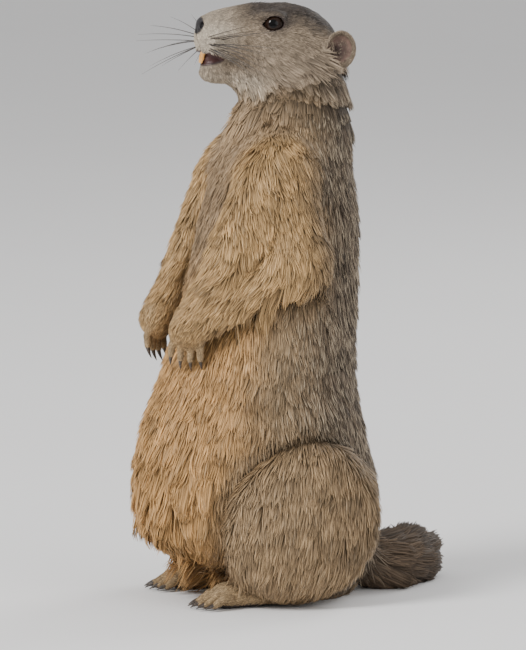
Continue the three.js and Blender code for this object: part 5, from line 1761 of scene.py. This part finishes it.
    def _bake_places(self, roots: Array, rings: int) -> Array:
        """Places on the OFBake map: a small patch for each tuft, unwrapped round the piece's own axis."""
        middle = (roots.min(axis=0) + roots.max(axis=0)) / 2
        turn = np.arctan2(roots[:, 0] - middle[0], -(roots[:, 1] - middle[1]))
        turn, level = (ranked(values) for values in (turn, roots[:, 2]))
        u = np.concatenate([np.tile([-0.5, 0.0, 0.5], rings), [0.0]]) * self.patch
        v = np.concatenate([np.repeat(np.arange(rings) / rings, 3), [1.0]]) * self.patch
        return np.stack([turn[:, None] + u, level[:, None] + v], axis=-1).reshape(-1, 2)

    def build(self) -> None:
        """Builds and dresses the whole coat."""
        finish = CoatFinish().make()
        for part in COAT_PARTS:
            self.tufts(part).dress(finish, part.slot)


def ranked(values: Array) -> Array:
    """Values spread over 0.01 to 0.99, half by size and half by rank, so that the map is filled."""
    rank = np.empty(len(values))
    rank[np.argsort(values)] = np.linspace(0, 1, len(values))
    span = (values - values.min()) / max(float(np.ptp(values)), 1e-6)
    return 0.01 + 0.98 * (rank + span) / 2


# Eyes, teeth, claws and whiskers


def closed_rings(rings: Array, start: Array, end: Array) -> tuple[Array, Array]:
    """A closed body through rings of points, right-handed about the way from its start to its end.

    Args:
        rings: rows of points, one row to a ring.
        start: the point that closes the first ring.
        end: the point that closes the last ring.

    Returns:
        Its points and its three-cornered faces.
    """
    rows, sides = rings.shape[:2]
    here = np.arange(sides)
    beside = (here + 1) % sides
    faces = []
    for row in range(rows - 1):
        low, high = row * sides, (row + 1) * sides
        faces.append(np.stack([low + here, low + beside, high + beside], axis=1))
        faces.append(np.stack([low + here, high + beside, high + here], axis=1))
    last = (rows - 1) * sides
    faces.append(np.stack([np.full(sides, rows * sides), beside, here], axis=1))
    faces.append(np.stack([np.full(sides, rows * sides + 1), last + here, last + beside], axis=1))
    return np.vstack([rings.reshape(-1, 3), start[None], end[None]]), np.vstack(faces)


def tube(line: Array, radii: Array, sides: int, flat: float = 1.0) -> tuple[Array, Array]:
    """A round rod along a line, closed at both ends.

    Args:
        line: points along its middle.
        radii: its radius at each point.
        sides: how many sides its section has.
        flat: the section's depth as a share of its width.

    Returns:
        Its points and its three-cornered faces.
    """
    ahead = unit(np.gradient(line, axis=0))
    aside = unit(np.cross(ahead, SKEW))
    over = np.cross(ahead, aside)
    turn = np.arange(sides) * 2 * math.pi / sides
    ring = np.cos(turn)[None, :, None] * aside[:, None] + np.sin(turn)[None, :, None] * over[:, None] * flat
    return closed_rings(line[:, None] + ring * radii[:, None, None], line[0], line[-1])


def joined(parts: Sequence[tuple[Array, Array]]) -> tuple[Array, Array]:
    """Several meshes as one."""
    starts = np.cumsum([0] + [len(points) for points, _ in parts[:-1]])
    faces = [faces + start for (_, faces), start in zip(parts, starts)]
    return np.vstack([points for points, _ in parts]), np.vstack(faces)


@dataclass
class Eyes:
    """Two dark, glossy eyes."""

    seat: EyeSeat
    place: Place
    rings: int = 40
    sides: int = 56
    play: float = 0.1
    cornea: float = 0.55
    cornea_edge: Fade = Fade(0.3, 0.85)

    def ball(self, side: float) -> tuple[Array, Array, Array]:
        """An eyeball with its bulging cornea, and how far round each point is from the front."""
        centre, out, along, _ = self.seat.frame(side)
        fall = np.linspace(math.pi, 0, self.rings + 2)[1:-1]
        turn = np.arange(self.sides) * 2 * math.pi / self.sides
        radius = self.seat.radius - self.play + self.cornea * (1 - self.cornea_edge(fall))
        spokes = np.cos(turn)[:, None] * along + np.sin(turn)[:, None] * np.cross(out, along)
        reach = (radius * np.sin(fall))[:, None, None] * spokes[None]
        rings = centre + (radius * np.cos(fall))[:, None, None] * out + reach
        back = centre - out * self.seat.radius
        front = centre + out * (self.seat.radius - self.play + self.cornea)
        points, faces = closed_rings(rings, back, front)
        return points, faces, np.concatenate([np.repeat(fall, self.sides), [math.pi, 0.0]])

    def build(self) -> None:
        """Builds and dresses both eyes."""
        for name, side in SIDES:
            points, faces, fall = self.ball(side)
            piece = Piece(f"eye_{name}_ball", self.place, points, faces)
            piece.numbers("fall", fall)
            piece.dress(EyeFinish().make(), "eye")
            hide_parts(f"eye_{name}")


@dataclass
class Teeth:
    """The two upper front teeth."""

    place: Place
    width: float = 3.3
    depth: float = 2.7
    gap: float = 0.08
    root: Triple = (0.0, -43.0, 434.0)
    tip: Triple = (0.0, -46.0, 421.2)
    bow: float = 1.6
    bow_turn: float = 2.6
    squareness: Pair = (0.6, 0.75)
    bevel: float = 0.62
    bevel_start: float = 0.74
    taper: float = 0.06
    ends: Pair = (0.3, 0.4)
    rings: int = 12
    sides: int = 20

    def tooth(self, side: float) -> tuple[Array, Array]:
        """One tooth: a flat-fronted bow with a bevelled cutting edge."""
        turn = np.arange(self.sides) * 2 * math.pi / self.sides
        wide, deep = (np.sign(wave) * np.abs(wave) ** power
                      for wave, power in zip((np.cos(turn), np.sin(turn)), self.squareness))
        rings = []
        for s in np.linspace(1, 0, self.rings):
            middle = lerp(self.root, self.tip, s)
            middle = middle + (side * (self.width / 2 + self.gap), -self.bow * math.sin(s * self.bow_turn), 0)
            thin = self.depth / 2 * (1 - self.bevel * float(smooth(s, self.bevel_start, 1.0)))
            ring = np.zeros((self.sides, 3))
            ring[:, 0] = wide * self.width / 2 * (1 - self.taper * s)
            ring[:, 1] = deep * thin - (self.depth / 2 - thin)
            rings.append(middle + ring)
        under, over = self.ends
        low, high = rings[0].mean(axis=0) - (0, 0, under), rings[-1].mean(axis=0) + (0, 0, over)
        return closed_rings(np.stack(rings), low, high)

    def build(self) -> None:
        """Builds and dresses both teeth."""
        for name, side in SIDES:
            points, faces = self.tooth(side)
            piece = Piece(f"front_tooth_{name}", self.place, points, faces)
            piece.dress(ToothFinish().make(), "tooth")
            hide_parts(f"incisor_{name}")


@dataclass
class Claws:
    """Curved dark claws on fingers and toes."""

    limbs: Limbs
    place: Place
    finger_claw: float = 10.5
    finger_width: float = 2.1
    finger_sunk: float = 1.5
    finger_bend: float = 0.9
    toe_claw: float = 10.5
    toe_width: float = 2.3
    toe_sunk: float = 2.0
    toe_over: float = 0.9
    toe_rise: float = 0.6
    curve: float = 0.34
    point: float = 0.86
    point_power: float = 1.7
    flatness: float = 0.82
    floor: float = 0.4
    rings: int = 9
    sides: int = 12

    def claw(self, start: Array, way: Array, bend: Array, length: float, width: float) -> tuple[Array, Array]:
        """One claw from inside its finger to its blunt point.

        Args:
            start: where it begins.
            way: the way that it points.
            bend: the way that it curves.
            length: its length.
            width: its radius at the root.

        Returns:
            Its points and faces.
        """
        share = np.linspace(0, 1, self.rings)
        line = start + way * (share * length)[:, None] + bend * (share**2 * length * self.curve)[:, None]
        radii = width * (1 - share**self.point_power * self.point)
        return tube(line, radii, self.sides, self.flatness)

    def hand(self, flip: Array) -> list[tuple[Array, Array]]:
        """The claws of one hand."""
        _, _, _, inward = self.limbs.hand_frame()
        claws = []
        for joints in self.limbs.finger_joints():
            way = unit(joints[3] - joints[1])
            start, bend = joints[3] - way * self.finger_sunk, inward * self.finger_bend
            claw = self.claw(start * flip, way * flip, bend * flip, self.finger_claw, self.finger_width)
            claws.append(claw)
        return claws

    def foot(self, flip: Array) -> list[tuple[Array, Array]]:
        """The claws of one foot."""
        down, claws = np.array([0, 0, -1.0]), []
        for joints in self.limbs.toe_joints():
            way = unit((joints[3] - joints[1]) * (1, 1, 0) + (0, 0, self.toe_rise))
            start = joints[3] + (0, 0, self.toe_over) - way * self.toe_sunk
            claws.append(self.claw(start * flip, way * flip, down, self.toe_claw, self.toe_width))
        return claws

    def build(self) -> None:
        """Builds the claws of each hand and foot as one piece each, and dresses them."""
        for name, side in SIDES:
            flip = np.array([side, 1, 1])
            for part, claws in (("hand", self.hand(flip)), ("foot", self.foot(flip))):
                points, faces = joined(claws)
                points[:, 2] = np.maximum(points[:, 2], self.floor)
                Piece(f"claws_{part}_{name}", self.place, points, faces).dress(ClawFinish().make(), "claw")


@dataclass
class Whiskers:
    """Stiff dark hairs on the muzzle, and a few over the eyes."""

    skull: Skull
    place: Place
    rows: tuple[float, ...] = (433.0, 437.0, 441.0)
    per_row: int = 5
    jitter: float = 0.7
    start: float = -30.0
    turn: Pair = (0.62, 0.15)
    sunk: float = 0.8
    backs: tuple[Pair, Pair] = ((0.5, 0.85), (-0.95, 0.1))
    rise: Pair = (-0.35, 0.3)
    rise_jitter: float = 0.1
    outward: float = 0.8
    lengths: Pair = (40, 56)
    droops: Pair = (2, 7)
    radius: float = 0.37
    taper: Pair = (1.05, 0.92)
    steps: int = 12
    sides: int = 6
    brows: int = 3
    brow: Triple = (19.5, 0.5, 462.5)
    brow_step: Triple = (-1.0, 3.0, -0.4)
    brow_way: Triple = (0.5, 0.55, 0.35)
    brow_lengths: Pair = (16, 22)
    brow_droop: float = 3.0
    brow_radius: float = 0.7

    def hair(self, start: Array, sweep: Array, droop: float, radius: float) -> tuple[Array, Array]:
        """One hair along a bent line, tapered to its tip."""
        share, (root, less) = np.linspace(0, 1, self.steps), self.taper
        line = start + sweep * share[:, None] + np.array([0, 0, -1.0]) * (droop * share**2)[:, None]
        return tube(line, radius * (root - less * share), self.sides)

    def muzzle(self, side: float, draw: np.random.Generator) -> list[tuple[Array, Array]]:
        """The whiskers of one side of the muzzle; those of the far side sweep more to the front."""
        (first, step), (flat, steeper) = self.turn, self.rise
        back = self.backs[0] if side > 0 else self.backs[1]
        hairs = []
        for row, level in enumerate(self.rows):
            for n in range(self.per_row):
                turn = first + n * step
                start = np.array([[0.0, self.start, level + draw.uniform(-self.jitter, self.jitter)]])
                way = np.array([[side * math.sin(turn), -math.cos(turn), 0.0]])
                root = surface_points(self.skull, start, way)[0] - way[0] * self.sunk
                rise = (flat + steeper * row) + draw.uniform(-self.rise_jitter, self.rise_jitter)
                sweep = unit(np.array([side * self.outward, lerp(*back, n / (self.per_row - 1)), rise]))
                sweep = sweep * draw.uniform(*self.lengths)
                hairs.append(self.hair(root, sweep, draw.uniform(*self.droops), self.radius))
        return hairs

    def over_eye(self, side: float, draw: np.random.Generator) -> list[tuple[Array, Array]]:
        """The few hairs over one eye."""
        flip, hairs = np.array([side, 1, 1]), []
        for n in range(self.brows):
            root = (np.asarray(self.brow) + n * np.asarray(self.brow_step)) * flip
            sweep = unit(np.asarray(self.brow_way) * flip) * draw.uniform(*self.brow_lengths)
            hairs.append(self.hair(root, sweep, self.brow_droop, self.radius * self.brow_radius))
        return hairs

    def build(self) -> None:
        """Builds the whiskers of each side as one piece, and dresses them."""
        draw = np.random.default_rng(SEED + 1)
        for name, side in SIDES:
            points, faces = joined([*self.muzzle(side, draw), *self.over_eye(side, draw)])
            Piece(f"whiskers_{name}", self.place, points, faces).dress(WhiskerFinish().make(), "claw")


# Materials


class Wire:
    """A value in a material, written with Python's own signs."""

    def __init__(self, recipe: Recipe, socket: bpy.types.NodeSocket) -> None:
        """Wraps a node's output."""
        self.recipe, self.socket = recipe, socket

    def _sum(self, operation: str, a: Any, b: Any) -> Wire:
        """A Math node on two values."""
        return self.recipe.node("ShaderNodeMath", {"operation": operation}, {0: a, 1: b})

    def __add__(self, other: Any) -> Wire:
        """This plus another."""
        return self._sum("ADD", self, other)

    __radd__ = __add__

    def __sub__(self, other: Any) -> Wire:
        """This less another."""
        return self._sum("SUBTRACT", self, other)

    def __rsub__(self, other: Any) -> Wire:
        """Another less this."""
        return self._sum("SUBTRACT", other, self)

    def __mul__(self, other: Any) -> Wire:
        """This times another."""
        return self._sum("MULTIPLY", self, other)

    __rmul__ = __mul__


class Recipe:
    """A material under construction, with one shader."""

    def __init__(self, name: str, **numbers: Any) -> None:
        """Starts a material and sets the shader's own numbers and colours.

        Args:
            name: the material's name.
            numbers: values of the shader's sockets, with underscores for the spaces in their names.
        """
        self.material = bpy.data.materials.new(name)
        self.material.use_nodes = True
        self.tree = self.material.node_tree
        self.tree.nodes.clear()
        self.shader = self.tree.nodes.new("ShaderNodeBsdfPrincipled")
        output = self.tree.nodes.new("ShaderNodeOutputMaterial")
        self.tree.links.new(self.shader.outputs[0], output.inputs[0])
        for socket, value in numbers.items():
            self.feed(socket.replace("_", " "), value)

    def feed(self, socket: str, value: Any) -> None:
        """Gives one of the shader's sockets a value or a link."""
        self._give(self.shader.inputs[socket], value)

    def _give(self, socket: bpy.types.NodeSocket, value: Any) -> None:
        """Gives a socket a value or a link."""
        if isinstance(value, Wire):
            self.tree.links.new(value.socket, socket)
        elif isinstance(value, tuple) and len(value) == 3 and len(socket.default_value) == 4:
            socket.default_value = (*value, 1.0)
        else:
            socket.default_value = value

    def node(
        self, kind: str, settings: dict[str, Any], inputs: dict[Any, Any], output: int | str = 0
    ) -> Wire:
        """Adds a node.

        Args:
            kind: the node's type.
            settings: its own settings, set first.
            inputs: values or links of its sockets.
            output: which output is wanted.

        Returns:
            That output.
        """
        node = self.tree.nodes.new(kind)
        for name, value in settings.items():
            setattr(node, name, value)
        for socket, value in inputs.items():
            self._give(node.inputs[socket], value)
        return Wire(self, node.outputs[output])

    def place(self) -> Wire:
        """The place on the piece, in metres."""
        return self.node("ShaderNodeTexCoord", {}, {}, "Object")

    def attribute(self, name: str, output: str = "Fac") -> Wire:
        """An attribute of the mesh."""
        return self.node("ShaderNodeAttribute", {"attribute_name": name}, {}, output)

    def noise(self, size: float, detail: float = 3.0) -> Wire:
        """Soft noise with blots of about a size in millimetres."""
        inputs = {"Vector": self.place(), "Scale": 1000.0 / size, "Detail": detail}
        return self.node("ShaderNodeTexNoise", {}, inputs)

    def ramp(self, value: Wire, low: float, high: float, start: float = 0.0, end: float = 1.0) -> Wire:
        """A value stretched from one range over another, and held there."""
        settings = {"interpolation_type": "SMOOTHSTEP"}
        return self.node("ShaderNodeMapRange", settings, {0: value, 1: low, 2: high, 3: start, 4: end})

    def mix(self, factor: Any, a: Any, b: Any, blend: str = "MIX") -> Wire:
        """Two colours mixed."""
        settings = {"data_type": "RGBA", "blend_type": blend}
        return self.node("ShaderNodeMix", settings, {0: factor, 6: a, 7: b}, 2)

    def bump(self, height: Wire, strength: float, distance: float) -> Wire:
        """A bumpy surface, with the distance in millimetres."""
        inputs = {"Strength": strength, "Distance": distance * MM, "Height": height}
        return self.node("ShaderNodeBump", {}, inputs)


@dataclass(frozen=True)
class SkinFinish:
    """Skin under the coat: velvety short hair, and bare leathery parts."""

    stubble: float = 0.8
    grain: float = 1.1

    def make(self) -> bpy.types.Material:
        """Builds the material."""
        r = Recipe("skin", Specular_IOR_Level=0.3)
        tint, wet = r.attribute("tint", "Color"), r.attribute("wet")
        blots = r.noise(6.0, 4.0)
        r.feed("Base Color", r.mix(0.6, tint, r.ramp(blots, 0.3, 0.7, 0.55, 1.35), "MULTIPLY"))
        r.feed("Roughness", 0.8 - 0.42 * wet)
        inputs = {"Vector": r.place(), "Scale": 1000.0 / self.grain}
        cells = r.node("ShaderNodeTexVoronoi", {}, inputs, "Distance")
        r.feed("Normal", r.bump(r.noise(self.stubble) + cells * 0.5, 0.35, 0.35))
        return r.material


@dataclass(frozen=True)
class CoatFinish:
    """Hair: banded colour, soft gloss and fine streaks."""

    strands: float = 1.5
    spread: float = 40.0

    def make(self) -> bpy.types.Material:
        """Builds the material."""
        r = Recipe("coat", Specular_IOR_Level=0.22, Sheen_Weight=0.05, Sheen_Roughness=0.5)
        tint, along = r.attribute("tint", "Color"), r.attribute("along")
        side, draw = r.attribute("side"), r.attribute("draw")
        x, y, z = side * self.strands + draw * self.spread, along * 0.7, draw * self.spread * 0.37
        place = r.node("ShaderNodeCombineXYZ", {}, {"X": x, "Y": y, "Z": z})
        strands = r.node("ShaderNodeTexNoise", {}, {"Vector": place, "Scale": 1.0, "Detail": 2.0})
        r.feed("Base Color", r.mix(1.0, tint, r.ramp(strands, 0.3, 0.7, 0.6, 1.4), "MULTIPLY"))
        r.feed("Roughness", 0.64 - 0.14 * along)
        r.feed("Normal", r.bump(strands, 0.5, 0.3))
        return r.material


@dataclass(frozen=True)
class EyeFinish:
    """A dark brown eye with a black pupil under a clear, wet cover."""

    iris: Triple = (0.010, 0.005, 0.003)
    pupil: Triple = (0.002, 0.002, 0.002)
    white: Triple = (0.012, 0.008, 0.006)

    def make(self) -> bpy.types.Material:
        """Builds the material."""
        r = Recipe("eye", Specular_IOR_Level=0.3, IOR=1.38)
        fall = r.attribute("fall")
        fibres = r.noise(0.5, 4.0)
        iris = r.mix(fibres, self.iris, tuple(2.2 * c for c in self.iris))
        ringed = r.mix(r.ramp(fall, 0.72, 0.84), iris, self.white)
        r.feed("Base Color", r.mix(r.ramp(fall + fibres * 0.02, 0.34, 0.40), self.pupil, ringed))
        r.feed("Roughness", r.ramp(fibres, 0.2, 0.8, 0.05, 0.09))
        return r.material


@dataclass(frozen=True)
class ToothFinish:
    """Yellow-orange enamel with fine lengthwise lines."""

    enamel: Triple = (0.60, 0.235, 0.03)
    worn: Triple = (0.74, 0.46, 0.17)

    def make(self) -> bpy.types.Material:
        """Builds the material."""
        r = Recipe("tooth", Specular_IOR_Level=0.5)
        lines = r.node("ShaderNodeMapping", {}, {"Vector": r.place(), "Scale": (1.0, 1.0, 0.05)})
        streaks = r.node("ShaderNodeTexNoise", {}, {"Vector": lines, "Scale": 2200.0, "Detail": 3.0})
        r.feed("Base Color", r.mix(r.ramp(streaks, 0.35, 0.75), self.enamel, self.worn))
        r.feed("Roughness", r.ramp(streaks, 0.2, 0.8, 0.25, 0.45))
        r.feed("Normal", r.bump(streaks, 0.3, 0.15))
        return r.material


@dataclass(frozen=True)
class ClawFinish:
    """Dark horn, paler and scratched toward the tips."""

    horn: Triple = (0.035, 0.027, 0.022)
    worn: Triple = (0.15, 0.11, 0.08)

    def make(self) -> bpy.types.Material:
        """Builds the material."""
        r = Recipe("claw", Specular_IOR_Level=0.5)
        scuffs = r.noise(1.2, 5.0)
        r.feed("Base Color", r.mix(r.ramp(scuffs, 0.48, 0.72), self.horn, self.worn))
        r.feed("Roughness", r.ramp(scuffs, 0.3, 0.7, 0.28, 0.5))
        r.feed("Normal", r.bump(scuffs, 0.25, 0.15))
        return r.material


@dataclass(frozen=True)
class WhiskerFinish:
    """Stiff dark hairs, a little paler in places."""

    dark: Triple = (0.02, 0.016, 0.014)
    pale: Triple = (0.09, 0.07, 0.055)

    def make(self) -> bpy.types.Material:
        """Builds the material."""
        r = Recipe("whisker", Specular_IOR_Level=0.5)
        blots = r.noise(5.0, 2.0)
        r.feed("Base Color", r.mix(r.ramp(blots, 0.4, 0.7), self.dark, self.pale))
        r.feed("Roughness", r.ramp(blots, 0.3, 0.7, 0.3, 0.45))
        return r.material


# Studio


class Mood(Enum):
    """What each lamp is for: its place round the animal, its size and its strength."""

    KEY = ((0.9, -2.3, 2.1), 1.2, 92.0)
    FILL = ((2.4, 0.9, 1.2), 2.2, 20.0)
    RIM = ((-1.2, 2.2, 2.0), 1.4, 34.0)


@dataclass
class Studio:
    """A plain pale floor, soft lamps and the camera at the drawing's angle."""

    place: Place
    azimuth: float = 70.0
    elevation: float = 7.0
    distance: float = 6.0
    frame_height: float = 509.0
    target: Triple = (0, 4.15, 213.7)
    sensor: float = 36.0
    floor_size: float = 16.0
    floor_flat: float = 7.5
    floor_rise: float = 4.5
    floor: Triple = (0.88, 0.87, 0.86)
    floor_rings: int = 60
    floor_sides: int = 72
    sky: Triple = (0.90, 0.90, 0.91)
    sky_strength: float = 0.74
    lamp_target: Triple = (0, 0, 0.22)

    def build(self) -> None:
        """Builds the floor, the lamps and the camera."""
        self._floor()
        for mood in Mood:
            self._lamp(mood)
        world = bpy.data.worlds.new("studio")
        world.use_nodes = True
        sky = world.node_tree.nodes["Background"]
        sky.inputs["Color"].default_value = (*self.sky, 1.0)
        sky.inputs["Strength"].default_value = self.sky_strength
        bpy.context.scene.world = world
        self._camera()

    def _floor(self) -> None:
        """A wide floor that turns up softly behind the animal on every side."""
        rings, sides = self.floor_rings, self.floor_sides
        radius = np.linspace(0, self.floor_size, rings)
        height = self.floor_rise * smooth(radius, self.floor_flat, self.floor_size) ** 1.5
        turn = np.arange(sides) * 2 * math.pi / sides
        levels = np.repeat(height[:, None], sides, axis=1)
        grid = np.stack([np.outer(radius, np.cos(turn)), np.outer(radius, np.sin(turn)), levels], axis=-1)
        faces = []
        for ring in range(1, rings - 1):
            near, far = ring * sides, (ring + 1) * sides
            for n in range(sides):
                beside = (n + 1) % sides
                faces.append((near + n, far + n, far + beside, near + beside))
        faces.append(tuple(sides + n for n in range(sides)))
        mesh = bpy.data.meshes.new("studio_floor")
        mesh.from_pydata(grid.reshape(-1, 3).tolist(), [], faces)
        mesh.shade_smooth()
        floor = bpy.data.objects.new("studio_floor", mesh)
        bpy.context.scene.collection.objects.link(floor)
        r = Recipe("studio_floor", Specular_IOR_Level=0.2, Roughness=0.8)
        r.feed("Base Color", r.mix(r.noise(400.0, 3.0), self.floor, tuple(0.97 * c for c in self.floor)))
        mesh.materials.append(r.material)

    def _lamp(self, mood: Mood) -> None:
        """One soft lamp that faces the animal."""
        where, size, power = mood.value
        light = bpy.data.lights.new(f"lamp_{mood.name.lower()}", "AREA")
        light.shape, light.size, light.energy = "DISK", size, power
        lamp = bpy.data.objects.new(light.name, light)
        lamp.location = where
        lamp.rotation_euler = (Vector(self.lamp_target) - Vector(where)).to_track_quat("-Z", "Y").to_euler()
        bpy.context.scene.collection.objects.link(lamp)

    def _camera(self) -> None:
        """The camera, framed on the animal."""
        a, e = math.radians(self.azimuth), math.radians(self.elevation)
        back = Vector((math.sin(a) * math.cos(e), -math.cos(a) * math.cos(e), math.sin(e)))
        data = bpy.data.cameras.new("camera")
        data.sensor_width = self.sensor
        data.lens = self.sensor * self.distance / (self.frame_height * MM)
        data.clip_start, data.clip_end = 0.1, 40.0
        camera = bpy.data.objects.new("camera", data)
        camera.location = Vector(self.place(np.asarray(self.target))) + back * self.distance
        camera.rotation_euler = (-back).to_track_quat("-Z", "Y").to_euler()
        bpy.context.scene.collection.objects.link(camera)
        bpy.context.scene.camera = camera


def main() -> None:
    """Builds the marmot's looks in order."""
    logging.basicConfig(level=logging.INFO, format="%(name)s: %(message)s")
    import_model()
    body = Anatomy()
    place, regions, tones = Place(body.eye), Regions(body), Tones()
    hide = Hide(body, regions, tones, place)
    hide.dress()
    Coat(hide, Growth(regions, tones), place).build()
    Eyes(body.eye, place).build()
    Teeth(place).build()
    Claws(body.limbs, place).build()
    Whiskers(body.skull, place).build()
    Studio(place).build()


if __name__ == "__main__":
    main()
